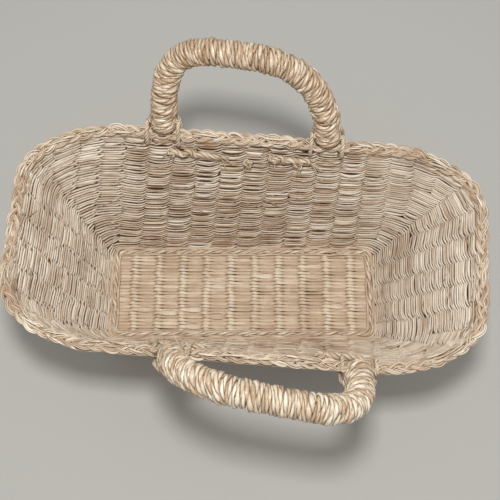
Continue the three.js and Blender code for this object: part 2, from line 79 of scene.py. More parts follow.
class Corner(Enum):
    """The four corners of the body, counterclockwise from the right end.

    Each has its name, the place of its crease as a share of the way round from its end wall, how far the
    crease is pushed out at half height, and the way that it faces along X and Y."""

    BACK_RIGHT = ("back_right", 0.34, 10.3 * MM, 1, 1)
    BACK_LEFT = ("back_left", 0.25, 10.3 * MM, -1, 1)
    FRONT_LEFT = ("front_left", 0.3, 6 * MM, -1, -1)
    FRONT_RIGHT = ("front_right", 0.3, 6 * MM, 1, -1)

    def __init__(self, label: str, crease: float, fold: float, along: int, aside: int) -> None:
        """Names the values.

        Args:
            label: the corner's name in the solids' names.
            crease: the place of its crease.
            fold: how far the crease is pushed out at half height.
            along: the way that it faces along X.
            aside: the way that it faces along Y.
        """
        self.label = label
        self.crease = crease
        self.fold = fold
        self.facing = (along, aside)

    @property
    def nodes(self) -> list[str]:
        """The solids of this corner's stakes."""
        return [f"{self.label}_corner_stake_{n}" for n in (1, 2, 3)]


class Side(Enum):
    """A long side of the rim, with the turn from the back side to it."""

    BACK = 0.0
    FRONT = math.pi

    @property
    def label(self) -> str:
        """The side's name in the solids' names."""
        return self.name.lower()


# Finishes


def linear(red: int, green: int, blue: int) -> tuple[float, float, float, float]:
    """Turns a colour as seen on a screen into the linear colour that shaders take.

    Args:
        red: its red, from 0 to 255.
        green: its green.
        blue: its blue.

    Returns:
        The linear colour, opaque.
    """
    shares = (red / 255, green / 255, blue / 255)
    parts = [c / 12.92 if c <= 0.04045 else ((c + 0.055) / 1.055) ** 2.4 for c in shares]
    return (*parts, 1.0)


def add_node(tree: bpy.types.NodeTree, kind: str, **values: object) -> bpy.types.Node:
    """Adds a node and sets its properties and, by name with spaces as underscores, its inputs.

    Args:
        tree: the tree that the node goes into.
        kind: the node's type, without its ShaderNode prefix.
        values: properties or inputs by name.

    Returns:
        The new node.
    """
    node = tree.nodes.new("ShaderNode" + kind)
    for name, value in values.items():
        if hasattr(node, name):
            setattr(node, name, value)
        else:
            node.inputs[name.replace("_", " ")].default_value = value
    return node


def feed(tree: bpy.types.NodeTree, node: bpy.types.Node, values: dict[int, object]) -> None:
    """Gives a node its inputs.

    Args:
        tree: the tree that the node is in.
        node: the node.
        values: for the number of each input, a socket or a plain value.
    """
    for index, value in values.items():
        if isinstance(value, bpy.types.NodeSocket):
            tree.links.new(value, node.inputs[index])
        else:
            node.inputs[index].default_value = value


def mixed(tree: bpy.types.NodeTree, factor: object, first: object, second: object,
          blend: str = "MIX") -> bpy.types.NodeSocket:
    """Mixes two colours.

    Args:
        tree: the tree that the node goes into.
        factor: the share of the second colour, as a socket or a number.
        first: the first colour, as a socket or a value.
        second: the second colour, as a socket or a value.
        blend: how the two are put together.

    Returns:
        The mixed colour.
    """
    node = add_node(tree, "Mix", data_type="RGBA", blend_type=blend)
    feed(tree, node, {0: factor, 6: first, 7: second})
    return node.outputs[2]


def computed(tree: bpy.types.NodeTree, operation: str, *values: object) -> bpy.types.NodeSocket:
    """Works out a number from others.

    Args:
        tree: the tree that the node goes into.
        operation: the name of the sum.
        values: its numbers, as sockets or plain.

    Returns:
        The result.
    """
    node = add_node(tree, "Math", operation=operation)
    feed(tree, node, dict(enumerate(values)))
    return node.outputs[0]


def ranged(tree: bpy.types.NodeTree, value: bpy.types.NodeSocket, low: float, high: float,
           to_low: float = 0.0, to_high: float = 1.0) -> bpy.types.NodeSocket:
    """Maps a number from one range to another, held at its ends.

    Args:
        tree: the tree that the node goes into.
        value: the number.
        low: the start of its range.
        high: the end of its range.
        to_low: what the start becomes.
        to_high: what the end becomes.

    Returns:
        The mapped number.
    """
    node = add_node(tree, "MapRange", From_Min=low, From_Max=high, To_Min=to_low, To_Max=to_high)
    tree.links.new(value, node.inputs["Value"])
    return node.outputs["Result"]


@dataclass(frozen=True)
class FibreGroup:
    """The shared look of dry grass: colours that vary from strand to strand, fine streaks along each strand,
    weathered patches over the whole, and a darkening that is painted shade in the creases of strands and dark
    specks on solid parts."""

    name: str = "grass_fibre"
    streak_scale: float = 1.0
    hair_scale: float = 3.1
    patch_scale: float = 22.0
    blotch_scale: float = 75.0
    tone_share: float = 0.62
    streak_share: float = 0.38
    ageing: float = 0.55
    wear: float = 0.35
    hair_depth: float = 0.45
    hair_height: float = 0.5
    streak_span: tuple[float, float] = (0.3, 0.7)
    pale_span: tuple[float, float] = (0.48, 0.82)
    warm_span: tuple[float, float] = (0.48, 0.16)
    aged_span: tuple[float, float] = (0.5, 0.72)
    worn_span: tuple[float, float] = (0.56, 0.74)
    thin_span: tuple[float, float] = (0.6, 0.72)
    roughest: float = 0.62
    smoothest: float = 0.48

    @cache
    def tree(self) -> bpy.types.NodeTree:
        """Builds the group once.

        Returns:
            The node group.
        """
        tree = bpy.data.node_groups.new(self.name, "ShaderNodeTree")
        sockets = tree.interface
        for name in ("Fibre", "Place"):
            sockets.new_socket(name, in_out="INPUT", socket_type="NodeSocketVector")
        for name in ("Tone", "Crease"):
            sockets.new_socket(name, in_out="INPUT", socket_type="NodeSocketFloat")
        for name in ("Pale", "Middle", "Warm", "Dark"):
            sockets.new_socket(name, in_out="INPUT", socket_type="NodeSocketColor")
        sockets.new_socket("Color", in_out="OUTPUT", socket_type="NodeSocketColor")
        for name in ("Roughness", "Height"):
            sockets.new_socket(name, in_out="OUTPUT", socket_type="NodeSocketFloat")
        given = tree.nodes.new("NodeGroupInput").outputs
        out = tree.nodes.new("NodeGroupOutput").inputs

        streaks, hairs, patches, blotches = [
            self.noise(tree, given[place], scale, detail) for place, scale, detail in (
                ("Fibre", self.streak_scale, 3.0), ("Fibre", self.hair_scale, 2.0),
                ("Place", self.patch_scale, 3.0), ("Place", self.blotch_scale, 2.0))]

        tone = ranged(tree, given["Tone"], 0.0, 1.0)
        own = computed(tree, "MULTIPLY", tone, self.tone_share)
        streaked = computed(tree, "MULTIPLY", ranged(tree, streaks, *self.streak_span), self.streak_share)
        lightness = computed(tree, "ADD", own, streaked)
        colour = mixed(tree, ranged(tree, lightness, *self.pale_span), given["Middle"], given["Pale"])
        colour = mixed(tree, ranged(tree, lightness, *self.warm_span), colour, given["Warm"])
        for noise, span, depth, name in ((patches, self.aged_span, self.ageing, "Warm"),
                                         (blotches, self.worn_span, self.wear, "Pale"),
                                         (hairs, self.thin_span, self.hair_depth, "Dark")):
            share = computed(tree, "MULTIPLY", ranged(tree, noise, *span), depth)
            colour = mixed(tree, share, colour, given[name])
        # Painted shade in the creases of strands, and dark specks on solid parts.
        colour = mixed(tree, given["Crease"], colour, given["Dark"])
        tree.links.new(colour, out["Color"])
        roughness = ranged(tree, streaks, *self.streak_span, self.roughest, self.smoothest)
        tree.links.new(roughness, out["Roughness"])
        height = computed(tree, "ADD", streaks, computed(tree, "MULTIPLY", hairs, self.hair_height))
        tree.links.new(height, out["Height"])
        return tree

    @staticmethod
    def noise(tree: bpy.types.NodeTree, place: bpy.types.NodeSocket, scale: float,
              detail: float) -> bpy.types.NodeSocket:
        """Adds a noise texture.

        Args:
            tree: the tree that the node goes into.
            place: where the noise is read.
            scale: how many features fit in one unit.
            detail: how many finer layers it has.

        Returns:
            The noise as a number about one half.
        """
        node = add_node(tree, "TexNoise", Scale=scale, Detail=detail, Roughness=NOISE_ROUGHNESS)
        tree.links.new(place, node.inputs["Vector"])
        return node.outputs["Fac"]


@dataclass(frozen=True)
class GrassFinish:
    """A kind of dry grass: its four colours, how dark its creases are painted as shade and how much rougher
    they are, and how glossy it is.

    Colours are as seen on a screen, from 0 to 255."""

    name: str
    pale: tuple[int, int, int]
    middle: tuple[int, int, int]
    warm: tuple[int, int, int]
    dark: tuple[int, int, int]
    # How dark the creases are painted: painted shade at each strand's edges; on solid parts, how dark the
    # specks are.
    crease: float = 0.8
    crease_start: float = 0.72
    streaks_along: float = 55.0
    streaks_round: float = 1.3
    bump: float = 0.35
    bump_depth: float = 0.0004
    gloss: float = 0.0
    dust: float = 0.4
    specular: float = 0.4
    on_strands: bool = True
    cloud_scale: float = 60.0
    speck_scale: float = 240.0
    speck_span: tuple[float, float] = (0.55, 0.75)
    solid_stretch: float = 9

    @cache
    def material(self) -> bpy.types.Material:
        """Builds the finish once.

        Returns:
            The material.
        """
        material = bpy.data.materials.new(f"{self.name}_finish")
        material.use_nodes = True
        tree = material.node_tree
        tree.nodes.clear()
        place = add_node(tree, "TexCoord").outputs["Object"]
        stretch = add_node(tree, "Mapping", vector_type="POINT")
        if self.on_strands:
            source = add_node(tree, "Attribute", attribute_name="fibre").outputs["Vector"]
            tone = add_node(tree, "Attribute", attribute_name="tone").outputs["Fac"]
            parts = add_node(tree, "SeparateXYZ")
            tree.links.new(source, parts.inputs[0])
            # Painted shade: each strand darkens towards the edges of its width, where it meets its
            # neighbours.
            edge = computed(tree, "ABSOLUTE", parts.outputs["Y"])
            crease = ranged(tree, edge, self.crease_start, 1.0, 0.0, self.crease)
            scale = (self.streaks_along, self.streaks_round, self.streaks_round)
        else:
            source = place
            tone = FibreGroup.noise(tree, place, self.cloud_scale, 1.0)
            specks = FibreGroup.noise(tree, place, self.speck_scale, 2.0)
            crease = ranged(tree, specks, *self.speck_span, 0.0, self.crease)
            fine = self.streaks_along * self.solid_stretch
            scale = (fine, fine, self.streaks_along)
        stretch.inputs["Scale"].default_value = scale
        tree.links.new(source, stretch.inputs["Vector"])
        group = tree.nodes.new("ShaderNodeGroup")
        group.node_tree = FibreGroup().tree()
        given = {"Fibre": stretch.outputs[0], "Place": place, "Tone": tone, "Crease": crease}
        for name, socket in given.items():
            tree.links.new(socket, group.inputs[name])
        for name in ("pale", "middle", "warm", "dark"):
            group.inputs[name.title()].default_value = linear(*getattr(self, name))
        bump = add_node(tree, "Bump", Strength=self.bump, Distance=self.bump_depth)
        tree.links.new(group.outputs["Height"], bump.inputs["Height"])
        shader = add_node(tree, "BsdfPrincipled", Specular_IOR_Level=self.specular)
        dusty = computed(tree, "MULTIPLY", crease, self.dust)
        satin = computed(tree, "SUBTRACT", group.outputs["Roughness"], self.gloss)
        roughness = computed(tree, "ADD", satin, dusty)
        tree.links.new(group.outputs["Color"], shader.inputs["Base Color"])
        tree.links.new(roughness, shader.inputs["Roughness"])
        tree.links.new(bump.outputs[0], shader.inputs["Normal"])
        output = tree.nodes.new("ShaderNodeOutputMaterial")
        tree.links.new(shader.outputs[0], output.inputs["Surface"])
        return material


WALL_GRASS = GrassFinish("wall_grass", (252, 241, 223), (214, 192, 166), (168, 134, 105), (54, 30, 18),
                         crease=0.95, crease_start=0.66, gloss=0.18)
BASE_GRASS = GrassFinish("base_grass", (236, 220, 196), (206, 182, 154), (184, 156, 126), (120, 92, 68),
                         crease=0.2, crease_start=0.88)
# A dark finish for the strips behind the rows, painted shade in the gaps between them.
GAP_SHADE_FINISH = GrassFinish("gap_shade", (128, 98, 72), (100, 72, 50), (78, 54, 36), (40, 24, 14),
                         crease=0.5, specular=0.1)
BORDER_GRASS = GrassFinish("border_grass", (248, 236, 214), (224, 204, 178), (194, 166, 138), (72, 48, 32),
                           crease=0.8, crease_start=0.66)
RIM_GRASS = GrassFinish("rim_grass", (250, 238, 218), (216, 194, 166), (174, 142, 112), (60, 40, 26),
                        crease=0.9, crease_start=0.62, gloss=0.16)
WRAP_GRASS = GrassFinish("wrap_grass", (255, 244, 224), (222, 198, 167), (182, 148, 115), (52, 32, 20),
                         crease=0.7, gloss=0.28, specular=0.55)
CORD_GRASS = GrassFinish("cord_grass", (240, 226, 202), (212, 190, 162), (176, 148, 118), (70, 48, 34),
                         crease=0.8)
STAKE_GRASS = GrassFinish("stake_grass", (176, 152, 126), (150, 126, 100), (124, 98, 74), (80, 60, 42),
                          crease=0.4, on_strands=False)
CORE_CANE = GrassFinish("core_cane", (222, 198, 168), (194, 166, 134), (166, 134, 102), (84, 60, 42),
                        crease=0.4, on_strands=False)


# Strands


def unit(vectors: np.ndarray) -> np.ndarray:
    """Vectors of length one along the given ones."""
    return vectors / np.maximum(np.linalg.norm(vectors, axis=-1, keepdims=True), LEAST_LENGTH)


def lengths_along(points: np.ndarray) -> np.ndarray:
    """How far along a line of points each one is."""
    steps = np.linalg.norm(np.diff(points, axis=0), axis=1)
    return np.concatenate([[0.0], np.cumsum(steps)])


def read_at(wanted: np.ndarray, along: np.ndarray, values: np.ndarray) -> np.ndarray:
    """Reads points or directions between the places where they are given.

    Args:
        wanted: where to read.
        along: the places where they are given.
        values: the given ones.

    Returns:
        One for each wanted place.
    """
    return np.stack([np.interp(wanted, along, values[:, axis]) for axis in range(3)], axis=1)


def spread_evenly(points: np.ndarray, count: int) -> np.ndarray:
    """Places points at even distances along a line.

    Args:
        points: the line.
        count: how many points to place on it.

    Returns:
        The placed points.
    """
    along = lengths_along(points)
    return read_at(np.linspace(0.0, along[-1], count), along, points)


def tangents_of(points: np.ndarray, closed: bool = False) -> np.ndarray:
    """The directions of a line at its points.

    Args:
        points: the line. A closed one ends where it starts.
        closed: whether it is closed.

    Returns:
        A direction of length one at each point.
    """
    steps = np.gradient(points, axis=0)
    if closed:
        steps[0] = steps[-1] = points[1] - points[-2]
    return unit(steps)


def square_to(points: np.ndarray, others: np.ndarray, closed: bool = False) -> np.ndarray:
    """The direction square to a line and to another direction, at each of its points.

    Args:
        points: the line.
        others: the other direction, one for all points or one each.
        closed: whether the line is closed.

    Returns:
        A direction of length one at each point.
    """
    return unit(np.cross(tangents_of(points, closed), others))


def carried_frame(points: np.ndarray, hint: np.ndarray) -> tuple[np.ndarray, np.ndarray]:
    """Two directions square to a line, carried along it without twist.

    Args:
        points: the line.
        hint: a direction near the first of the two at the start.

    Returns:
        The first and the second direction at each point.
    """
    tangents = tangents_of(points)
    firsts = np.empty_like(points)
    current = hint
    for i, tangent in enumerate(tangents):
        current = unit(current - tangent * (current @ tangent))
        firsts[i] = current
    return firsts, np.cross(tangents, firsts)


def wander(along: np.ndarray, wave: float, rng: np.random.Generator) -> np.ndarray:
    """A smooth random curve between about minus one and one.

    Args:
        along: where it is read.
        wave: its usual wavelength.
        rng: the source of its phases.

    Returns:
        Its value at each place.
    """
    phases = rng.uniform(0, TAU, 3)
    stretches = (1.0, 1.73, 0.61)
    waves = [np.sin(TAU * along * k / wave + phase) for k, phase in zip(stretches, phases)]
    return sum(waves) / WAVE_REACH


def made_mesh(bm: bmesh.types.BMesh, name: str) -> bpy.types.Mesh:
    """Makes a mesh of what was built, and lets that go.

    Args:
        bm: what was built.
        name: the mesh's name.

    Returns:
        The mesh.
    """
    mesh = bpy.data.meshes.new(name)
    bm.to_mesh(mesh)
    bm.free()
    return mesh


@dataclass
class Strand:
    """One strand as the sections along it: centres, directions of width and thickness, and half sizes."""

    centre: np.ndarray
    across: np.ndarray
    out: np.ndarray
    half_width: np.ndarray
    half_thick: np.ndarray
    tone: np.ndarray
    closed: bool = False

    def __post_init__(self) -> None:
        """Spreads single sizes over all sections, and closes the ends."""
        ones = np.ones(len(self.centre))
        self.half_width = self.half_width * ones
        self.half_thick = self.half_thick * ones
        self.tone = np.clip(self.tone * ones, 0.0, 1.0)
        for values in (self.centre, self.across, self.out, self.half_width, self.half_thick, self.tone):
            if self.closed:
                values[-1] = values[0]
        if not self.closed:
            for sizes in (self.half_width, self.half_thick):
                sizes[0] = 0.0
                sizes[-1] = 0.0

    def parts(self, keep: np.ndarray) -> list["Strand"]:
        """The stretches of this strand that are kept, each closed at its ends.

        Args:
            keep: whether each section is kept.

        Returns:
            The stretches with more than two sections.
        """
        if keep.all():
            return [self]
        edges = np.flatnonzero(np.diff(np.concatenate([[0], keep.astype(int), [0]])))
        runs = [slice(a, b) for a, b in zip(edges[::2], edges[1::2]) if b - a > 2]
        return [Strand(self.centre[run].copy(), self.across[run], self.out[run], self.half_width[run].copy(),
                       self.half_thick[run].copy(), self.tone[run]) for run in runs]

    def points(self, ring: np.ndarray, angle: np.ndarray) -> np.ndarray:
        """Points on the strand's surface.

        Args:
            ring: the section of each point.
            angle: the angle of each point round its section.

        Returns:
            The points.
        """
        heading = np.cross(self.across, self.out)
        forward = np.einsum("ij,ij->i", heading, tangents_of(self.centre, self.closed)).sum()
        turn = -1.0 if forward > 0 else 1.0
        side = np.cos(angle) * self.half_width[ring]
        rise = np.sin(turn * angle) * self.half_thick[ring]
        return self.centre[ring] + self.across[ring] * side[:, None] + self.out[ring] * rise[:, None]


class StrandPiece:
    """A piece made of many strands, each a grid rolled into a tube."""

    def __init__(self, name: str, sides: int = 6) -> None:
        """Starts an empty piece.

        Args:
            name: the piece's name.
            sides: how many faces each strand has round it.
        """
        self.name = name
        self.sides = sides
        self.strands: list[Strand] = []

    def add(self, *strands: Strand) -> None:
        """Adds strands to the piece."""
        self.strands += strands

    def grids(self) -> bpy.types.Mesh:
        """Lays one flat grid for each strand.

        Returns:
            The mesh of all grids.
        """
        bm = bmesh.new()
        for strand in self.strands:
            bmesh.ops.create_grid(bm, x_segments=len(strand.centre) - 1, y_segments=self.sides, size=0.5)
        return made_mesh(bm, self.name)

    def roll(self, mesh: bpy.types.Mesh) -> None:
        """Rolls the grids into tubes, and records where on its strand each vertex is.

        Args:
            mesh: the mesh of all grids.
        """
        places = np.empty(len(mesh.vertices) * 3, np.float32)
        mesh.vertices.foreach_get("co", places)
        places = places.reshape(-1, 3)
        fibre = np.empty_like(places)
        tone = np.empty(len(places), np.float32)
        start = 0
        for strand in self.strands:
            rings = len(strand.centre)
            block = slice(start, start + rings * (self.sides + 1))
            ring = np.rint((places[block, 0] + 0.5) * (rings - 1)).astype(int)
            side = np.rint((places[block, 1] + 0.5) * self.sides).astype(int) % self.sides
            angle = TAU * side / self.sides
            places[block] = strand.points(ring, angle)
            along = lengths_along(strand.centre)[ring] + FIBRE_SPREAD * strand.tone[0]
            fibre[block] = np.stack([along, np.cos(angle), np.sin(angle)], axis=1)
            tone[block] = strand.tone[ring]
            start = block.stop
        mesh.vertices.foreach_set("co", places.ravel())
        mesh.attributes.new("fibre", "FLOAT_VECTOR", "POINT").data.foreach_set("vector", fibre.ravel())
        mesh.attributes.new("tone", "FLOAT", "POINT").data.foreach_set("value", tone)

    def build(self, finish: GrassFinish, body: str, slot: str, nodes: list[str] | None = None
              ) -> bpy.types.Object:
        """Makes the piece and sets it on its body.

        Args:
            finish: what the strands are made of.
            body: the body that it moves with.
            slot: the record's material slot; not used.
            nodes: the solids that it stands for.

        Returns:
            The piece.
        """
        mesh = self.grids()
        self.roll(mesh)
        bm = bmesh.new()
        bm.from_mesh(mesh)
        bmesh.ops.remove_doubles(bm, verts=bm.verts, dist=MERGE_REACH)
        bm.to_mesh(mesh)
        bm.free()
        mesh.polygons.foreach_set("use_smooth", np.ones(len(mesh.polygons), bool))
        mesh.materials.append(finish.material())
        piece = bpy.data.objects.new(self.name, mesh)
        bpy.context.scene.collection.objects.link(piece)
        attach(piece, body)
        if nodes:
            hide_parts(*nodes)
        triangles = sum(len(p.vertices) - 2 for p in mesh.polygons)
        log.info("%s: %d strands, %d triangles", self.name, len(self.strands), triangles)
        return piece


@dataclass
class Line:
    """A line with a direction to its side and one up from it at each point."""

    points: np.ndarray
    side: np.ndarray
    up: np.ndarray
    closed: bool = False

    @property
    def length(self) -> float:
        """The line's whole length."""
        return float(lengths_along(self.points)[-1])

    def shifted(self, aside: np.ndarray, above: np.ndarray) -> np.ndarray:
        """The points moved to the side and up."""
        return self.points + self.side * np.asarray(aside)[..., None] + self.up * np.asarray(above)[..., None]


@dataclass
class Rope:
    """Twisted plies: how many, how thick, how far apart and how fast they turn."""

    plies: int = 2
    ply_radius: float = 0.95 * MM
    lay_radius: float = 0.8 * MM
    pitch: float = 7 * MM
    roughness: float = 0.12
    wide: float = 1.12
    thick: float = 0.9
    thinnest: float = 0.15
    tone: float = 0.55
    tone_range: float = 0.2

    def strands(self, line: Line, rng: np.random.Generator, taper: float = 0.0,
                size: np.ndarray | float = 1.0) -> list[Strand]:
        """Twists the plies round a line.

        Args:
            line: the line.
            rng: the source of the small differences.
            taper: the share of the length over which each end thins.
            size: how much thicker than its plain size the rope is, along the line.

        Returns:
            One strand for each ply.
        """
        along = lengths_along(line.points)
        turns = along[-1] / self.pitch
        if line.closed:
            turns = round(turns)
        share = along / along[-1]
        strands = []
        for ply in range(self.plies):
            angle = TAU * (share * turns + ply / self.plies)
            slack = size * (1 + self.roughness * self.ragged(share, along, rng, line.closed))
            centre = line.shifted(self.lay_radius * np.cos(angle) * slack,
                                  self.lay_radius * np.sin(angle) * slack)
            out = line.side * np.cos(angle)[:, None] + line.up * np.sin(angle)[:, None]
            across = square_to(centre, out, line.closed)
            thin = np.clip(np.minimum(share, 1 - share) / taper, self.thinnest, 1) if taper else 1.0
            radius = self.ply_radius * thin * size
            radius = radius * (1 + self.roughness * self.ragged(share, along, rng, line.closed))
            tone = self.tone + self.tone_range * rng.uniform(-1, 1)
            tone = tone + self.tone_range * self.ragged(share, along, rng, line.closed)
            strands.append(Strand(centre, across, out, radius * self.wide, radius * self.thick, tone,
                                  line.closed))
        return strands

    @staticmethod
    def ragged(share: np.ndarray, along: np.ndarray, rng: np.random.Generator, closed: bool) -> np.ndarray:
        """A random curve along a rope, which meets itself where the rope is closed.

        Args:
            share: how far along each point is, as a share of the whole.
            along: how far along it is.
            rng: the source of the curve.
            closed: whether the rope is closed.

        Returns:
            Its value at each point.
        """
        if not closed:
            return wander(along, ROPE_WAVE, rng)
        waves = rng.integers(*CLOSED_WAVES, 3)
        phases = rng.uniform(0, TAU, 3)
        return sum(np.sin(TAU * share * k + phase) for k, phase in zip(waves, phases)) / WAVE_REACH


@dataclass
class Plait:
    """A flat plait of three bundles of grass, each a few strands side by side."""

    period: float = 36 * MM
    reach: float = 4.0 * MM
    lift: float = 1.0 * MM
    fibres: int = 4
    fibre_pitch: float = 1.0 * MM
    fibre_width: float = 0.66 * MM
    fibre_thick: float = 0.55 * MM
    crown: float = 0.8 * MM
    unevenness: float = 0.4
    swell_span: tuple[float, float] = (-1, 0.6)
    twist: float = 0.35 * MM
    wobble: float = 0.2 * MM
    raggedness: float = 0.5 * MM
    tone: float = 0.55
    strand_tones: float = 0.2
    bundle_tones: float = 0.26
    ragged_tones: float = 0.18

    def strands(self, line: Line, rng: np.random.Generator) -> list[Strand]:
        """Plaits three bundles along a closed line.

        Args:
            line: the line.
            rng: the source of the small differences.

        Returns:
            All the grass strands of the plait.
        """
        along = lengths_along(line.points)
        share = along / along[-1]
        periods = round(along[-1] / self.period)
        lobes = 2 * periods
        strands = []
        for bundle in range(3):
            turn = share * periods + bundle / 3
            phase = TAU * turn
            lobe = np.floor(2 * turn).astype(int) % lobes
            bulge = np.abs(np.sin(phase))
            swell = 1 + self.unevenness * rng.uniform(*self.swell_span, lobes)[lobe] * bulge
            hue = rng.uniform(-1, 1, lobes)[lobe] * bulge ** 0.5
            twist = self.twist * rng.uniform(-1, 1, lobes)[lobe] * np.sin(phase)
            for n in range(self.fibres):
                offset = n - (self.fibres - 1) / 2
                ragged = Rope.ragged(share, along, rng, True)
                aside = self.reach * np.sin(phase) + twist
                above = self.lift * np.sin(2 * phase) + self.wobble * Rope.ragged(share, along, rng, True)
                above = above - self.crown * (offset / self.fibres * 2) ** 2
                centre = line.shifted(aside, above)
                heading = tangents_of(centre, True)
                across = unit(np.cross(heading, line.up))
                aside = offset * self.fibre_pitch * swell + self.raggedness * ragged
                centre = centre + across * aside[:, None]
                tone = self.tone + self.strand_tones * rng.uniform(-1, 1) + self.bundle_tones * hue
                tone = tone + self.ragged_tones * ragged
                strands.append(Strand(centre, across, np.cross(across, heading), self.fibre_width * swell,
                                      self.fibre_thick * swell, tone, True))
        return strands


# The body's shape


@dataclass
class RowLine:
    """The wall's middle at one height: points round it, with their outward and upward directions."""

    points: np.ndarray
    outward: np.ndarray
    upward: np.ndarray
    place: np.ndarray
    arc: np.ndarray

    @property
    def length(self) -> float:
        """The way round."""
        return float(self.arc[-1])

    def arc_at(self, place: float) -> float:
        """The distance round at a stake's number, with whole turns added."""
        turns, rest = divmod(place, self.place[-1])
        return turns * self.length + float(np.interp(rest, self.place, self.arc))

    def sampled(self, arc: np.ndarray) -> tuple[np.ndarray, np.ndarray, np.ndarray]:
        """Reads the line.

        Args:
            arc: distances round it.

        Returns:
            Points, outward directions and upward directions.
        """
        wrapped = np.mod(arc, self.length)
        read = [read_at(wrapped, self.arc, values) for values in (self.points, self.outward, self.upward)]
        return read[0], unit(read[1]), unit(read[2])


@dataclass
class BodyShape:
    """The body's outlines and where its stakes stand, measured on the middle of the wall."""

    foot_overhang: float = 1 * MM
    base_corner: float = 12 * MM
    rim_length: float = 421 * MM
    rim_corner_length: float = 92 * MM
    rim_corner_width: float = 58 * MM
    floor_level: float = 5 * MM
    cross_stakes: int = 10
    end_stakes: int = 4
    corner_stakes: int = 3
    cross_pitch_base: float = 25 * MM
    cross_pitch_rim: float = 22.5 * MM
    end_pitch_base: float = 20 * MM
    end_pitch_rim: float = 23 * MM
    fold_turn: float = math.radians(37)
    fold_fade: float = 1.5
    fold_top: float = 0.955
    samples: int = 40
    corner_samples: int = 160
    softening: int = 5

    def __post_init__(self) -> None:
        """Reads the solids' sizes, and draws both outlines by stake."""
        low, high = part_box("foot_border")
        self.base_length = high.x - low.x - 2 * self.foot_overhang
        self.base_width = high.y - low.y - 2 * self.foot_overhang
        self.base_shift = np.array([(high.x + low.x) / 2, (high.y + low.y) / 2, 0.0])
        hinge = next(joint for joint in frame["joints"] if joint["name"] == "back_handle_swing")
        self.rim_height = hinge["pos_m"][2]
        self.rim_width = 2 * math.hypot(hinge["pos_m"][0], hinge["pos_m"][1])
        self.rim_twist = math.atan2(-hinge["axis"][1], -hinge["axis"][0])
        self.rim_radius = (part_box("rim")[1].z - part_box("rim")[0].z) / 2
        base = self.outline(self.base_length, self.base_width, self.base_corner, self.base_corner)
        rim = self.outline(self.rim_length, self.rim_width, self.rim_corner_length, self.rim_corner_width)
        self.count = 2 * (self.cross_stakes + self.end_stakes) + 4 * self.corner_stakes
        self.place = np.linspace(0, self.count, self.count * self.samples + 1)
        self.feet = self.around(base, self.cross_pitch_base, self.end_pitch_base)
        self.feet += self.base_shift + UP * self.floor_level
        self.tops = self.turned(self.around(rim, self.cross_pitch_rim, self.end_pitch_rim), self.rim_twist)
        self.tops += UP * self.rim_height
        self.upward = unit(self.tops - self.feet)
        self.folds = sum(self.fold_of(corner) for corner in Corner)

    @property
    def slant(self) -> float:
        """The mean length of the stakes from the base to the rim."""
        return float(np.linalg.norm(self.tops - self.feet, axis=1).mean())

    @staticmethod
    def turned(points: np.ndarray, angle: float) -> np.ndarray:
        """The points turned about the upright axis."""
        return points @ np.array(Matrix.Rotation(angle, 3, "Z")).T

    def outline(self, length: float, width: float, corner_length: float, corner_width: float) -> np.ndarray:
        """A rectangle with elliptical corners, counterclockwise from the middle of its right end.

        Args:
            length: its size along X.
            width: its size along Y.
            corner_length: a corner's size along X.
            corner_width: a corner's size along Y.

        Returns:
            A closed row of points.
        """
        right = length / 2 - corner_length
        back = width / 2 - corner_width
        quarter = np.linspace(0, math.pi / 2, self.corner_samples)
        points = [np.array([[length / 2, 0.0]])]
        for turn, (x, y) in enumerate(((right, back), (-right, back), (-right, -back), (right, -back))):
            angle = quarter + turn * math.pi / 2
            points.append(np.stack([x + corner_length * np.cos(angle),
                                    y + corner_width * np.sin(angle)], axis=1))
        points.append(points[0])
        flat = np.concatenate(points)
        return np.concatenate([flat, np.zeros((len(flat), 1))], axis=1)

    def first_of(self, side: int) -> int:
        """The number of the first stake of a side, counted from the right end."""
        ends = math.ceil(side / 2) * (self.end_stakes + self.corner_stakes)
        return ends + (side // 2) * (self.cross_stakes + self.corner_stakes)

    def last_of(self, side: int) -> int:
        """The number of the last stake of a side before its corner."""
        return self.first_of(side) + (self.cross_stakes if side % 2 else self.end_stakes) - 1

    def around(self, outline: np.ndarray, cross_pitch: float, end_pitch: float) -> np.ndarray:
        """Points round an outline, as many between each two stakes.

        Args:
            outline: the outline.
            cross_pitch: how far apart the stakes of the long sides are on it.
            end_pitch: how far apart those of the ends are.

        Returns:
            A closed row of points.
        """
        along = lengths_along(outline)
        quarter = along[-1] / 4
        numbers = []
        distances = []
        for side in range(4):
            pitch = cross_pitch if side % 2 else end_pitch
            first, last = self.first_of(side), self.last_of(side)
            middle = (first + last) / 2
            numbers += [first, last]
            distances += [side * quarter + (n - middle) * pitch for n in (first, last)]
        numbers.append(self.count)
        distances.append(distances[0] + along[-1])
        wanted = np.mod(np.interp(self.place, numbers, distances), along[-1])
        return read_at(wanted, along, outline)

    @staticmethod
    def side_before(corner: Corner) -> int:
        """The number of the side that ends at a corner."""
        return list(Corner).index(corner)

    def crease_place(self, corner: Corner) -> float:
        """The place of a corner's crease.

        Args:
            corner: the corner.

        Returns:
            Its place in stakes from the right end.
        """
        side = self.side_before(corner)
        share = 1 - corner.crease if side % 2 else corner.crease
        return self.last_of(side) + share * (self.corner_stakes + 1)

    def fold_of(self, corner: Corner) -> np.ndarray:
        """How far one crease pushes the wall out at half height.

        Args:
            corner: the corner of the crease.

        Returns:
            A push for each place round the wall: it grows evenly over the end wall's side and fades past
            the crease.
        """
        side = self.side_before(corner)
        share = (self.place - self.last_of(side)) / (self.corner_stakes + 1)
        if side % 2:
            share = 1 - share
        rising = np.clip(share / corner.crease, 0, 1)
        fading = np.clip((1 - share) / (1 - corner.crease), 0, 1) ** self.fold_fade
        push = corner.fold * np.minimum(rising, fading)
        along, aside = corner.facing
        heading = np.array([along * math.cos(self.fold_turn), aside * math.sin(self.fold_turn), 0.0])
        return push[:, None] * heading

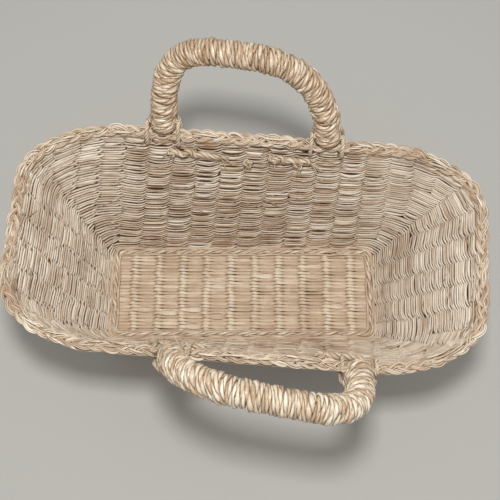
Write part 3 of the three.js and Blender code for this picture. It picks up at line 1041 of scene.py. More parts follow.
    def row(self, share: float) -> RowLine:
        """The wall's middle at a share of the stakes' length.

        Args:
            share: from 0 at the base to 1 at the rim.

        Returns:
            The line round the wall.
        """
        level = min(share / self.fold_top, 1.0)
        points = self.feet + (self.tops - self.feet) * share + self.folds * 4 * level * (1 - level)
        outward = square_to(points, self.upward, True)
        ring = outward[:-1]
        soft = unit(sum(np.roll(ring, n, axis=0) for n in range(-self.softening, self.softening + 1)))
        outward = np.concatenate([soft, soft[:1]])
        return RowLine(points, outward, self.upward, self.place, lengths_along(points))

    def stake_arcs(self, row: RowLine) -> np.ndarray:
        """Where the stakes of a row stand: the through ones, one in each crease and the added ones.

        Args:
            row: the row.

        Returns:
            Distances round the row, in order.
        """
        arcs = []
        for side, corner in enumerate(Corner):
            arcs += [row.arc_at(n) for n in range(self.first_of(side), self.last_of(side) + 1)]
            arcs += sorted(self.corner_arcs(row, corner).values())
        return np.array(arcs)

    def corner_arcs(self, row: RowLine, corner: Corner) -> dict[str, float]:
        """Where the stakes of one corner stand: one in the crease, and more on both sides as the row widens.

        Args:
            row: the row.
            corner: the corner.

        Returns:
            Distances round the row, by a name that each stake keeps from row to row.
        """
        side = self.side_before(corner)
        last = self.last_of(side)
        following = self.first_of(side + 1) if side < 3 else self.count
        start, stop, crease = row.arc_at(last), row.arc_at(following), row.arc_at(self.crease_place(corner))
        before = self.added(start, crease, start - row.arc_at(last - 1))
        after = self.added(stop, crease, row.arc_at(following + 1) - stop)
        arcs = {"crease": crease}
        arcs.update({f"before_{n}": arc for n, arc in enumerate(before)})
        arcs.update({f"after_{n}": arc for n, arc in enumerate(after)})
        return arcs

    @staticmethod
    def added(start: float, stop: float, pitch: float, least: float = 0.5) -> list[float]:
        """Stakes added from one place towards another.

        Args:
            start: the last stake that is there.
            stop: the crease that they must stay clear of.
            pitch: how far apart they are.
            least: the share of a pitch that stays free before the crease.

        Returns:
            Their places, from the start on.
        """
        count = max(0, math.floor(abs(stop - start) / pitch - least))
        return [start + math.copysign(pitch * (n + 1), stop - start) for n in range(count)]


@dataclass
class RimFrame:
    """The turned frame of one long side of the rim: its X runs along the rim's middle."""

    shape: BodyShape
    side: Side

    @property
    def matrix(self) -> np.ndarray:
        """The frame's rotation."""
        return np.array(Matrix.Rotation(self.shape.rim_twist + self.side.value, 3, "Z"))

    @property
    def origin(self) -> np.ndarray:
        """The middle of the long side, on the rim's axis."""
        return self.matrix @ np.array([0.0, self.shape.rim_width / 2, 0.0]) + UP * self.shape.rim_height

    def placed(self, points: np.ndarray) -> np.ndarray:
        """Points of this frame as points of the basket."""
        return points @ self.matrix.T + self.origin

    def directed(self, vectors: np.ndarray) -> np.ndarray:
        """Directions of this frame as directions of the basket."""
        return vectors @ self.matrix.T


# Woven sub-assemblies


@dataclass
class Weave:
    """Twining: two strands that go round each stake on both sides and cross just beside it.

    Each strand climbs over its stake at the crossing's side, and sags a little on its way to the next one.
    Now and then one stands proud or lies sunk."""

    crossing: float = 0.18
    swing: float = 1.85 * MM
    rest: float = 0.95 * MM
    spread: float = 0.13
    half_thick: float = 1.1 * MM
    fill: float = 0.45
    rise: float = 0.8
    rise_range: float = 0.35
    shift: float = 0.05
    stray: float = 3.0
    smoothing: float = 0.45
    sag: float = 0.45 * MM
    unevenness: float = 0.4
    looseness: float = 0.7 * MM
    loose_span: tuple[float, float] = (-0.4, 1)
    swell_span: tuple[float, float] = (-1.1, 0.7)
    proud_share: float = 0.09
    sunk_share: float = 0.1
    squeeze: float = 0.12
    flank: float = 0.0
    flank_place: float = 0.19
    flank_spread: float = 0.1
    nip: float = 0.28
    least_nip: float = 0.3
    close: float = 0.35
    parting: float = 0.1
    climb_share: float = 0.42
    pale_calm: float = 2.2
    slow_drift: float = 0.2 * MM
    slow_wave: float = 90 * MM
    quick_drift: float = 1.2
    proud_swell: float = 0.5
    sunk_swell: float = 0.3
    proud_inset: float = 0.7
    sunk_inset: float = 0.6
    tone: float = 0.5
    row_tones: float = 0.1
    tone_wave: float = 140 * MM
    proud_tone: float = 0.3
    thick_swell: float = 0.1
    # How much paler the strands are painted over the stakes: a painted highlight.
    painted_highlight: float = 0.1
    contrast: float = 0.4
    steps: tuple[float, ...] = (0.0, 0.05, 0.11, 0.18, 0.26, 0.35, 0.47, 0.63, 0.8, 0.93)

    def pair(self, read: Callable, knots: np.ndarray, pitch: float, rng: np.random.Generator,
             closed_by: float | None = None, calm: np.ndarray | float = 1.0,
             pale: np.ndarray | float = 0.0) -> list[Strand]:
        """Twines one row.

        Args:
            read: gives points, outward and upward directions at distances along the row.
            knots: where the stakes stand along the row.
            pitch: the height of the row.
            rng: the source of the small differences.
            closed_by: the way round, where the row is a ring.
            calm: the share of their full climb that the strands have at each stake. Where it is low, their
                crossings also stray from the stakes and the strands differ less.
            pale: how much paler they are at each stake.

        Returns:
            The two strands.
        """
        calm, pale = np.broadcast_to(calm, len(knots)), np.broadcast_to(pale, len(knots))
        if closed_by:
            seam = rng.integers(len(knots))
            calm, pale = np.roll(calm, -seam), np.roll(pale, -seam)
            knots = np.concatenate([knots[seam:] - closed_by, knots[:seam]])
            knots = np.concatenate([[knots[-1] - closed_by], knots, [knots[0] + closed_by]])
        count = len(knots) - 2
        turn = np.append((np.arange(count)[:, None] + np.array(self.steps)).ravel(), count)
        segment = np.minimum(turn.astype(int), count - 1)
        share = turn - segment
        level = np.interp(turn, np.arange(len(calm)), calm)
        shift = self.shift * (1 + self.stray * (1 - level))
        shift = shift * rng.uniform(-1, 1, count + 1)[np.append(segment[:-1], count)]
        arc = np.interp(turn - self.crossing + shift * (1 - share), np.arange(-1, count + 1), knots)
        points, outward, upward = read(arc)
        over_stake = np.exp(-((share - self.crossing) / self.spread) ** 2)
        beside_stake = np.abs(share - self.crossing) - self.flank_place
        beside_stake = np.exp(-(beside_stake / self.flank_spread) ** 2)
        parted = np.sin(math.pi / 2 * np.clip(np.minimum(share, 1 - share) / self.parting, 0, 1))
        climb = np.clip(share / self.climb_share, 0, 1)
        climb = 0.5 - climb * climb * (3 - 2 * climb)
        hang = np.sin(math.pi * np.clip((share - self.crossing) / (1 - self.crossing), 0, 1))
        paler = np.interp(turn, np.arange(len(pale)), pale)
        rough = (1 - self.pale_calm * paler) * (1 - self.smoothing * (1 - level))
        slow = self.slow_drift * wander(arc, self.slow_wave, rng)
        strands = []
        for strand in (0, 1):
            inner = np.where((segment + strand) % 2 == 0, 1.0, -1.0)
            loose = self.looseness * rng.uniform(*self.loose_span, count)[segment] * hang * rough
            drift = self.quick_drift * self.looseness * rng.uniform(-1, 1, count)[segment] * hang * rough
            lot = rng.uniform(0, 1, count)
            proud = (lot < self.proud_share)[segment] * hang
            sunk = (lot > 1 - self.sunk_share)[segment] * hang * rough ** 2
            swell = 1 + self.unevenness * rng.uniform(*self.swell_span, count)[segment] * parted * rough
            swell = swell + self.proud_swell * proud - self.sunk_swell * sunk
            inset = self.rest + (self.swing - self.rest) * over_stake + loose
            inset = (inset + MM * (self.proud_inset * proud - self.sunk_inset * sunk)) * parted
            steep = 1 + self.rise_range * rng.uniform(-1, 1, count)[segment] * np.sin(math.pi * share)
            above = inner * climb * steep * self.rise * pitch * level - self.sag * hang + slow + drift
            tone = self.tone + self.row_tones * rng.uniform(-1, 1)
            # Painted highlight: each strand is paler where it lies over its stake.
            tone = tone + self.row_tones * wander(arc, self.tone_wave, rng) + self.painted_highlight * over_stake
            tone = tone + self.contrast * rng.uniform(-1, 1, count)[segment] * parted * rough
            # Proud strands are paler; sunk strands are darker, painted shade in their recess.
            tone = tone + paler + self.proud_tone * proud - self.proud_tone * sunk
            nip = self.nip * (self.least_nip + (1 - self.least_nip) * level)
            width = self.fill * pitch * swell * (1 - nip * (1 - parted))
            width = width * (1 - self.squeeze * over_stake - self.flank * beside_stake)
            width = width * (1 + self.close * paler)
            centre = points - outward * (inner * inset)[:, None] + upward * above[:, None]
            thick = self.half_thick * (1 + self.thick_swell * (swell - 1))
            strands.append(Strand(centre, upward, outward, width, thick, tone))
        return strands


@dataclass
class Slots:
    """The gaps under the rim that the lashings go through, each by its middle and its way along the rim."""

    places: list[tuple[np.ndarray, np.ndarray]]
    half_width: float = 1.7 * MM
    radius: float = 10.6 * MM

    def clear(self, strand: Strand, half_width: float | None = None) -> np.ndarray:
        """Which of a strand's sections lie clear of the gaps.

        Args:
            strand: the strand.
            half_width: half the width to keep clear, where it isn't the gaps' own.

        Returns:
            One truth value for each section.
        """
        keep = np.ones(len(strand.centre), bool)
        for middle, along in self.places:
            offset = strand.centre - middle
            run = offset @ along
            reach = np.linalg.norm(offset - run[:, None] * along, axis=1)
            keep &= (np.abs(run) > (half_width or self.half_width)) | (reach > self.radius)
        return keep


@dataclass
class Walls:
    """The four walls: fine twined rows from the base up, and two thick twined border rows under the rim."""

    shape: BodyShape
    slots: Slots
    rows: int = 47
    first_share: float = 0.02
    last_share: float = 0.936
    border_shares: tuple[float, ...] = (0.958, 0.984)
    border_pitch: float = 4.6 * MM
    # Below zero: on the long walls the border rows under the rim are darker, painted shade under the rim, and
    # also thinner and more irregular.
    border_tone: float = -0.25
    step_span: tuple[float, float] = (0.84, 1.16)
    gap_shade_sections: int = 260
    gap_shade_thick: float = 0.25 * MM
    gap_shade_fill: float = 0.62
    gap_shade_tones: tuple[float, float] = (0.1, 0.9)
    calm_end: float = 0.25
    pale_left: float = 0.17
    pale_right: float = 0.26
    courses: int = 9
    seed: int = 11
    weave: Weave = field(default_factory=Weave)
    border_weave: Weave = field(default_factory=lambda: Weave(
        swing=2.1 * MM, rest=1.5 * MM, half_thick=1.3 * MM, fill=0.47, rise=0.75, sag=0.0, unevenness=0.2))

    def build(self) -> None:
        """Weaves the rows, in as many pieces as the solid wall has courses."""
        rng = np.random.default_rng(self.seed)
        pieces = [StrandPiece(f"wall_rows_{n + 1}") for n in range(self.courses)]
        gap_shade_strips = StrandPiece("wall_gap_shade", 4)
        steps = rng.uniform(*self.step_span, self.rows - 1)
        shares = np.interp(np.concatenate([[0.0], np.cumsum(steps)]), [0.0, steps.sum()],
                           [self.first_share, self.last_share])
        pitch = self.shape.slant * (self.last_share - self.first_share) / (self.rows - 1)
        for share in shares:
            self.add_row(pieces, share, pitch, self.weave, rng)
            gap_shade_strips.add(*self.gap_shade_strips(share, pitch, rng))
        for share in self.border_shares:
            self.add_row(pieces, share, self.border_pitch, self.border_weave, rng, self.border_tone)
        for n, piece in enumerate(pieces):
            piece.build(WALL_GRASS, "basket", "weft_grass", [f"weft_course_{n + 1}"])
        gap_shade_strips.build(GAP_SHADE_FINISH, "basket", "weft_grass")

    def gap_shade_strips(self, share: float, pitch: float, rng: np.random.Generator) -> list[Strand]:
        """A dark strip in the middle of the wall behind a row: painted shade in the gaps between the rows,
        which also closes them.

        Args:
            share: how far up the wall the row lies.
            pitch: the height of the row.
            rng: the source of the small differences.

        Returns:
            A flat strand in the middle of the wall, in parts.
        """
        row = self.shape.row(share)
        points, outward, upward = row.sampled(np.linspace(0, row.length, self.gap_shade_sections))
        tone = rng.uniform(*self.gap_shade_tones)
        strand = Strand(points, upward, outward, self.gap_shade_fill * pitch, self.gap_shade_thick, tone)
        return strand.parts(self.slots.clear(strand))

    def add_row(self, pieces: list[StrandPiece], share: float, pitch: float, weave: Weave,
                rng: np.random.Generator, tone: float = 0.0) -> None:
        """Twines one row into the piece of its height.

        Args:
            pieces: the pieces, from the lowest up.
            share: how far up the wall the row lies.
            pitch: its height.
            weave: how its strands run.
            rng: the source of the small differences.
            tone: how much paler its strands are on the long walls, below zero where they are darker.
        """
        row = self.shape.row(share)
        piece = pieces[min(int(share * self.courses), self.courses - 1)]
        arcs = self.shape.stake_arcs(row)
        left_end = (arcs > row.arc_at(self.shape.last_of(1))) & (arcs < row.arc_at(self.shape.first_of(3)))
        right_end = (arcs < row.arc_at(self.shape.first_of(1))) | (arcs > row.arc_at(self.shape.last_of(3)))
        calm = np.where(left_end, self.calm_end, 1.0)
        pale = np.select([left_end, right_end], [self.pale_left, self.pale_right], tone)
        for strand in weave.pair(row.sampled, arcs, pitch, rng, row.length, calm, pale):
            piece.add(*strand.parts(self.slots.clear(strand)))


@dataclass
class CornerStakes:
    """The stakes in and beside the creases of the corners, under the weave."""

    shape: BodyShape
    half_width: float = 1.5 * MM
    half_thick: float = 0.7 * MM
    levels: int = 24
    least_sections: int = 4
    start_share: float = 0.01
    top_share: float = 0.955
    tones: tuple[float, float] = (0.3, 0.6)
    seed: int = 5

    def build(self) -> None:
        """Lays each corner's stakes from where they start up to the rim."""
        rng = np.random.default_rng(self.seed)
        shares = np.linspace(self.start_share, self.top_share, self.levels)
        rows = [self.shape.row(share) for share in shares]
        for corner in Corner:
            piece = StrandPiece(f"{corner.label}_corner_stakes")
            lines: dict[str, list[np.ndarray]] = {}
            for row in rows:
                for name, arc in self.shape.corner_arcs(row, corner).items():
                    section = np.stack([part[0] for part in row.sampled(np.array([arc]))])
                    lines.setdefault(name, []).append(section)
            for line in lines.values():
                if len(line) >= self.least_sections:
                    centre, outward, upward = np.stack(line, axis=1)
                    across = unit(np.cross(outward, upward))
                    tone = rng.uniform(*self.tones)
                    piece.add(Strand(centre, across, outward, self.half_width, self.half_thick, tone))
            piece.build(WALL_GRASS, "basket", "stake_grass", corner.nodes)


@dataclass
class Base:
    """The twined base: rows along X that go round the cross stakes, and on under the walls."""

    shape: BodyShape
    inset: float = 8.5 * MM
    end_inset: float = 3 * MM
    pitch: float = 3.5 * MM
    strips: int = 5
    seed: int = 23
    # The strands are painted paler over the stakes, a painted highlight on the base's ribs.
    weave: Weave = field(default_factory=lambda: Weave(
        swing=1.9 * MM, rest=0.8 * MM, spread=0.1, half_thick=0.62 * MM, fill=0.66, rise=0.14, sag=0.0,
        unevenness=0.14, looseness=0.14 * MM, proud_share=0.04, sunk_share=0.03, squeeze=0.16, flank=0.26,
        nip=0.08, painted_highlight=0.65, contrast=0.22))

    def build(self) -> None:
        """Weaves the base, in as many pieces as the solid base has strips."""
        rng = np.random.default_rng(self.seed)
        pieces = [StrandPiece(f"base_rows_{n + 1}") for n in range(self.strips)]
        half = self.shape.base_width / 2 - self.inset
        count = int(2 * half / self.pitch)
        reach = self.shape.base_length / 2 - self.end_inset
        middle = (self.shape.cross_stakes - 1) / 2
        stakes = (np.arange(self.shape.cross_stakes) - middle) * self.shape.cross_pitch_base
        level = self.shape.base_shift + UP * self.shape.floor_level
        past = self.shape.cross_pitch_base * np.array([1, 2])
        knots = np.concatenate([stakes[0] - past[::-1], stakes, stakes[-1] + past])
        for n in range(count):
            y = -half + (n + 0.5) * 2 * half / count

            def read(arc: np.ndarray, y: float = y) -> tuple[np.ndarray, np.ndarray, np.ndarray]:
                """Points, outward and upward directions along this row."""
                points = np.stack([arc, np.full_like(arc, y), np.zeros_like(arc)], axis=1) + level
                return points, np.tile(-UP, (len(arc), 1)), np.tile([0.0, 1.0, 0.0], (len(arc), 1))

            piece = pieces[min(int(n * self.strips / count), self.strips - 1)]
            for strand in self.weave.pair(read, knots, self.pitch, rng):
                piece.add(*strand.parts(np.abs(strand.centre[:, 0] - self.shape.base_shift[0]) < reach))
        for n, piece in enumerate(pieces):
            piece.build(BASE_GRASS, "basket", "weft_grass", [f"base_strip_{n + 1}"])


@dataclass
class Borders:
    """The ridge round the inside of the base, and the plait that the basket stands on."""

    shape: BodyShape
    rope_inset: float = 5.9 * MM
    rope_level: float = 8.1 * MM
    rope_samples: int = 420
    fill_places: tuple[tuple[float, float], ...] = (
        (1.6 * MM, 7.4 * MM), (3.9 * MM, 7.2 * MM), (8.4 * MM, 7.2 * MM))
    fill_samples: int = 300
    fill_width: float = 1.5 * MM
    fill_thick: float = 0.9 * MM
    fill_aside: float = 0.5 * MM
    fill_above: float = 0.3 * MM
    fill_tone: float = 0.12
    fill_tones: float = 0.25
    least_corner: float = 2 * MM
    plait_inset: float = 4.5 * MM
    plait_level: float = 1.95 * MM
    plait_samples: int = 480
    seed: int = 31
    rope: Rope = field(default_factory=lambda: Rope(
        plies=3, ply_radius=1.1 * MM, lay_radius=1.0 * MM, pitch=30 * MM, roughness=0.9))
    plait: Plait = field(default_factory=lambda: Plait(
        period=30 * MM, reach=2.9 * MM, lift=0.5 * MM, fibres=4, fibre_pitch=0.95 * MM, fibre_width=0.62 * MM,
        fibre_thick=0.5 * MM, crown=0.15 * MM))

    def ring(self, inset: float, level: float, count: int) -> Line:
        """A closed line inside the base's outline.

        Args:
            inset: how far inside.
            level: how high.
            count: how many points it has.

        Returns:
            The line.
        """
        corner = max(self.shape.base_corner - inset, self.least_corner)
        outline = self.shape.outline(self.shape.base_length - 2 * inset, self.shape.base_width - 2 * inset,
                                     corner, corner)
        points = spread_evenly(outline, count) + self.shape.base_shift + UP * level
        side = square_to(points, UP, True)
        return Line(points, side, np.tile(UP, (count, 1)), True)

    def build(self) -> None:
        """Makes both borders."""
        rng = np.random.default_rng(self.seed)
        rope = StrandPiece("inner_rope")
        rope.add(*self.rope.strands(self.ring(self.rope_inset, self.rope_level, self.rope_samples), rng))
        for inset, level in self.fill_places:
            line = self.ring(inset, level, self.fill_samples)
            along = lengths_along(line.points)
            ragged = Rope.ragged(along / line.length, along, rng, True)
            centre = line.shifted(self.fill_aside * ragged, self.fill_above * ragged)
            tone = self.fill_tone + self.fill_tones * ragged
            rope.add(Strand(centre, line.side, line.up, self.fill_width, self.fill_thick, tone, True))
        rope.build(BORDER_GRASS, "basket", "braid_grass", ["inner_border"])
        plait = StrandPiece("foot_plait")
        ring = self.ring(self.plait_inset, self.plait_level, self.plait_samples)
        plait.add(*self.plait.strands(ring, rng))
        plait.build(RIM_GRASS, "basket", "braid_grass", ["foot_border"])


@dataclass
class Rim:
    """The plaited rim, on the turned-over ends of the stakes."""

    shape: BodyShape
    raise_by: float = 3.4 * MM
    outset: float = 0.9 * MM
    tilt: float = math.radians(-20)
    filler_reach: float = 3.4 * MM
    filler_level: float = -0.8 * MM
    filler_radius: float = 1.7 * MM
    filler_turn: float = 0.35
    filler_range: float = 0.1
    filler_flatness: float = 0.8
    filler_tone: float = 0.45
    filler_shade: float = 0.5
    filler_tones: float = 0.2
    fillers: int = 6
    samples: int = 760
    seed: int = 41
    plait: Plait = field(default_factory=Plait)

    def build(self) -> None:
        """Plaits the rim along its outline."""
        rng = np.random.default_rng(self.seed)
        points = spread_evenly(self.shape.tops, self.samples)
        level = square_to(points, UP, True)
        side = level * math.cos(self.tilt) - UP * math.sin(self.tilt)
        up = level * math.sin(self.tilt) + UP * math.cos(self.tilt)
        piece = StrandPiece("rim_plait")
        middle = points + up * self.raise_by + level * self.outset
        piece.add(*self.plait.strands(Line(middle, side, up, True), rng))
        upright = np.tile(UP, (self.samples // 2, 1))
        self.add_fillers(piece, Line(points[::2], level[::2], upright, True), rng)
        piece.build(RIM_GRASS, "basket", "braid_grass", ["rim"])

    def add_fillers(self, piece: StrandPiece, line: Line, rng: np.random.Generator) -> None:
        """Lays the stake ends that run round under the plait, as long wavy strands.

        Args:
            piece: the piece that they go into.
            line: the closed line that they run along. Its last point is set on its first.
            rng: the source of the small differences.
        """
        line.points[-1] = line.points[0]
        along = lengths_along(line.points)
        share = along / along[-1]
        for n in range(self.fillers):
            angle = TAU * n / self.fillers + self.filler_turn * Rope.ragged(share, along, rng, True)
            reach = self.filler_reach * (1 + self.filler_range * Rope.ragged(share, along, rng, True))
            centre = line.shifted(reach * np.cos(angle), self.filler_level + reach * np.sin(angle))
            out = unit(line.side * np.cos(angle)[:, None] + line.up * np.sin(angle)[:, None])
            across = square_to(centre, out, True)
            tone = self.filler_tone - self.filler_shade * np.clip(np.sin(angle), 0, 1)
            tone = tone + self.filler_tones * Rope.ragged(share, along, rng, True)
            thick = self.filler_radius * self.filler_flatness
            piece.add(Strand(centre, across, out, self.filler_radius, thick, tone, True))


def smooth_line(points: np.ndarray, count: int) -> np.ndarray:
    """A smooth line through points.

    Args:
        points: the points.
        count: how many points the line has.

    Returns:
        Evenly spread points on it.
    """
    ends = np.concatenate([[2 * points[0] - points[1]], points, [2 * points[-1] - points[-2]]])
    share = np.linspace(0, 1, SPLINE_STEPS, endpoint=False)[:, None]
    parts = []
    for a, b, c, d in zip(ends, ends[1:], ends[2:], ends[3:]):
        parts.append(0.5 * (2 * b + (c - a) * share + (2 * a - 5 * b + 4 * c - d) * share**2
                            + (3 * b - a - 3 * c + d) * share**3))
    return spread_evenly(np.concatenate([*parts, points[-1:]]), count)


@dataclass
class Knot:
    """A tight overhand knot. Its size is a third of its reach."""

    size: float = 1.45 * MM
    sections: int = 90
    gap: float = 0.05
    rope: Rope = field(default_factory=lambda: Rope(
        plies=3, ply_radius=0.75 * MM, lay_radius=0.7 * MM, pitch=14 * MM, roughness=0.2))

    def strands(self, middle: np.ndarray, facing: np.ndarray, rng: np.random.Generator) -> list[Strand]:
        """Ties the knot.

        Args:
            middle: its middle.
            facing: the direction that it faces.
            rng: the source of the small differences.

        Returns:
            Its strands.
        """
        turn = np.linspace(self.gap, TAU - self.gap, self.sections)
        first = unit(np.cross(UP, facing))
        second = np.cross(facing, first)
        flat = (np.outer(np.sin(turn) + 2 * np.sin(2 * turn), first)
                + np.outer(np.cos(turn) - 2 * np.cos(2 * turn), second))
        points = middle + self.size * (flat - np.outer(np.sin(3 * turn), facing))
        side, up = carried_frame(points, UP)
        return self.rope.strands(Line(points, side, up), rng)


@dataclass
class LooseBlade:
    """A single blade that springs from the end of a cord or from a knot.

    It turns away from the cord's direction by chance. Most of its way off the surface is then taken back,
    so that it lies along it, and it narrows to its tip."""

    sections: int = 9
    # Drawn in millimetres.
    lengths: tuple[float, float] = (7, 17)
    turning: float = 0.45
    flatness: float = 0.8
    fall: float = 0.25
    most_lift: float = 0.2
    narrowing: float = 3
    tip: float = 0.2
    half_width: float = 0.6 * MM
    half_thick: float = 0.32 * MM
    tones: tuple[float, float] = (0.3, 1.0)

    def strand(self, start: np.ndarray, heading: np.ndarray, lift: np.ndarray,
               rng: np.random.Generator) -> Strand:
        """Lays the blade.

        Args:
            start: where it springs from.
            heading: the cord's direction there.
            lift: the direction away from what the cord lies on.
            rng: the source of its size and turn.

        Returns:
            The blade.
        """
        share = np.linspace(0, 1, self.sections)
        length = rng.uniform(*self.lengths) * MM
        heading = unit(heading) + self.turning * rng.normal(0, 1, 3)
        heading = unit(heading - self.flatness * lift * (heading @ lift))
        droop = UP * -self.fall + lift * rng.uniform(0, self.most_lift)
        centre = start + np.outer(share, heading * length) + np.outer(share ** 2, droop * length)
        across = square_to(centre, lift)
        out = np.cross(across, tangents_of(centre))
        width = self.half_width * np.clip(self.narrowing * (1 - share), self.tip, 1)
        return Strand(centre, across, out, width, self.half_thick, rng.uniform(*self.tones))


@dataclass
class Handle:
    """One carrying handle: an arch wound with grass, and the cords that lash its feet to the rim."""

    shape: BodyShape
    side: Side
    half_span: float
    shift: float
    rise: float
    lean: float = math.radians(32.5)
    skew: float = math.radians(7)
    tight_shoulder: float = 4.2
    loose_shoulder: float = 2.4
    outer_radius: float = 12.2 * MM
    foot_start: float = 7.6 * MM
    arch_samples: int = 1201
    points_per_turn: int = 12
    turns: int = 60
    steps: int = 24
    winding_radius: float = 2.45 * MM
    winding_lean: float = 1.1
    turn_widths: tuple[float, float] = (0.76, 1.24)
    slope_range: float = 0.4
    slope_wave: float = 9
    radius_range: float = 0.3 * MM
    radius_wave: float = 6.3
    size_range: float = 0.12
    size_wave: float = 1.31
    turn_tones: float = 0.24
    lashing_radius: float = 1.7 * MM
    lashing_rise: float = 15 * MM
    lashing_samples: int = 260
    lashing_taper: float = 0.03
    half_turn_points: int = 9
    crossing_degrees: tuple[float, ...] = (-60, -45, -30, -15, 0, 15, 30, 45, 60)
    # Where an end goes under the winding: degrees round the leg, and the share of its own distance from it.
    tuck: tuple[tuple[float, float], ...] = ((50, 0.82), (62, 0.93), (76, 1.0))
    blade_limit: int = 3
    blade: LooseBlade = field(default_factory=LooseBlade)
    clearance: float = 0.3 * MM
    hinge_clearance: float = 0.6 * MM
    seed: int = 53
    winding_rope: Rope = field(default_factory=lambda: Rope(
        plies=3, ply_radius=1.6 * MM, lay_radius=1.25 * MM, pitch=29 * MM, roughness=0.3))
    lashing_rope: Rope = field(default_factory=lambda: Rope(
        plies=3, ply_radius=1.0 * MM, lay_radius=1.0 * MM, pitch=11 * MM, roughness=0.25))

    @property
    def frame(self) -> RimFrame:
        """The frame of this side of the rim."""
        return RimFrame(self.shape, self.side)

    @property
    def body(self) -> str:
        """The body that the handle is."""
        return f"{self.side.label}_handle"

    @property
    def feet(self) -> dict[str, float]:
        """Where the feet stand along the rim, by hand as seen from the front."""
        left = -1 if self.side is Side.BACK else 1
        return {"left": self.shift + left * self.half_span, "right": self.shift - left * self.half_span}

    @property
    def lashing_aside(self) -> float:
        """How far beside the middle of a leg its lashing runs."""
        return self.outer_radius + 2 * self.clearance + self.lashing_radius

    @property
    def lashing_turn(self) -> float:
        """How far from the rim's axis the lashing runs."""
        return self.shape.rim_radius + self.hinge_clearance + self.lashing_radius

    @staticmethod
    def leaning(angle: np.ndarray | float) -> tuple[np.ndarray, np.ndarray]:
        """The directions of a leaning handle, in the frame of the rim.

        Args:
            angle: how far it leans.

        Returns:
            The direction in which it rises, and the one square to that over its back.
        """
        zero = np.zeros_like(angle)
        rise = np.stack([zero, np.sin(angle), np.cos(angle)], axis=-1)
        behind = np.stack([zero, np.cos(angle), -np.sin(angle)], axis=-1)
        return rise, behind

    def lean_at(self, x: np.ndarray | float) -> np.ndarray | float:
        """How far the handle leans out at a place along the rim."""
        return self.lean - self.skew * (x - self.shift) / self.half_span

    def arch(self, count: int) -> tuple[np.ndarray, np.ndarray, np.ndarray]:
        """The handle's middle line, in the frame of the rim.

        Args:
            count: how many points it has.

        Returns:
            The points, and two directions square to the line at each.
        """
        angle = np.linspace(0, math.pi, self.arch_samples)
        power = np.where(angle > math.pi / 2, self.tight_shoulder, self.loose_shoulder)
        along, up = np.cos(angle), np.abs(np.sin(angle))
        scale = (np.abs(along) ** power + up ** power) ** (-1 / power)
        x = self.shift + along * scale * self.half_span
        rise, _ = self.leaning(self.lean_at(x))
        points = rise * (up * scale * self.rise)[:, None]
        points[:, 0] = x
        points = points[np.hypot(points[:, 1], points[:, 2]) > self.foot_start]
        points = spread_evenly(points, count)
        _, behind = self.leaning(self.lean)
        tangents = tangents_of(points)
        in_plane = unit(np.cross(tangents, behind))
        return points, in_plane, np.cross(in_plane, tangents)

    def winding(self, rng: np.random.Generator) -> StrandPiece:
        """Winds a rope of grass round the arch, in turns of uneven width.

        Args:
            rng: the source of the small differences.

        Returns:
            The piece.
        """
        points, in_plane, square = self.arch(self.turns * self.points_per_turn)
        along = lengths_along(points)
        widths = rng.uniform(*self.turn_widths, self.turns + 1)
        widths *= along[-1] / widths.sum()
        edges = np.concatenate([[0.0], np.cumsum(widths)])
        turn = np.linspace(0, self.turns, self.turns * self.steps + 1)
        number = np.minimum(turn.astype(int), self.turns - 1)
        middle = np.interp(turn, np.arange(self.turns + 1), (edges[:-1] + edges[1:]) / 2)
        width = np.interp(turn, np.arange(self.turns + 1), widths)
        angle = TAU * turn
        slope = 1 - 2 * turn / self.turns + self.slope_range * wander(turn, self.slope_wave, rng)
        at = middle + width * self.winding_lean * slope * np.sin(angle)
        centre, side, up = [read_at(at, along, values) for values in (points, in_plane, square)]
        out = unit(side * np.cos(angle)[:, None] + up * np.sin(angle)[:, None])
        radius = self.outer_radius - self.winding_radius
        radius = radius + self.radius_range * wander(turn, self.radius_wave, rng)
        centre = self.frame.placed(centre + out * radius[:, None])
        out = self.frame.directed(out)
        across = square_to(centre, out)
        size = width / widths.mean() * (1 + self.size_range * wander(turn, self.size_wave, rng))
        piece = StrandPiece(f"{self.body}_winding")
        piece.add(*self.winding_rope.strands(Line(centre, across, out), rng, size=size))
        for strand in piece.strands:
            strand.tone = strand.tone + self.turn_tones * rng.uniform(-1, 1, self.turns)[number]
        return piece

    def lashing_path(self, foot: float) -> np.ndarray:
        """The cord of one foot: it hugs the rim on both sides of the leg and crosses behind it.

        Args:
            foot: where the foot stands along the rim.

        Returns:
            Points in the frame of the rim.
        """
        rise, behind = self.leaning(self.lean_at(foot))
        aside, turn = self.lashing_aside, self.lashing_turn

        def arm(side: float, height: float, out: float) -> np.ndarray:
            """A point beside the leg."""
            return np.array([foot + side * aside, 0.0, 0.0]) + rise * height + behind * out

        def under_rim(side: float, sign: float) -> list[np.ndarray]:
            """Half a turn under the rim."""
            angles = np.linspace(0, math.pi, self.half_turn_points)
            return [arm(side, -turn * math.sin(a), sign * turn * math.cos(a)) for a in angles]

        def round_leg(sign: float, degrees: tuple[float, ...], hug: float = 1.0) -> list[np.ndarray]:
            """Part of a turn round the leg, at a share of the cord's distance from it."""
            return [np.array([foot + hug * aside * math.sin(math.radians(d)), 0.0, 0.0])
                    + rise * self.lashing_rise
                    + behind * (sign * hug * aside * math.cos(math.radians(d))) for d in degrees]

        def tucked(side: float) -> list[np.ndarray]:
            """An end pushed under the winding."""
            return [point for degrees, hug in self.tuck for point in round_leg(-1, (degrees * side,), hug)]

        half_rise = self.lashing_rise / 2
        path = [*tucked(-1), arm(-1, half_rise, -turn), *under_rim(-1, -1),
                arm(-1, half_rise, turn), *round_leg(1, self.crossing_degrees),
                arm(1, half_rise, turn), *under_rim(1, 1), arm(1, half_rise, -turn), *reversed(tucked(1))]
        return np.array(path)

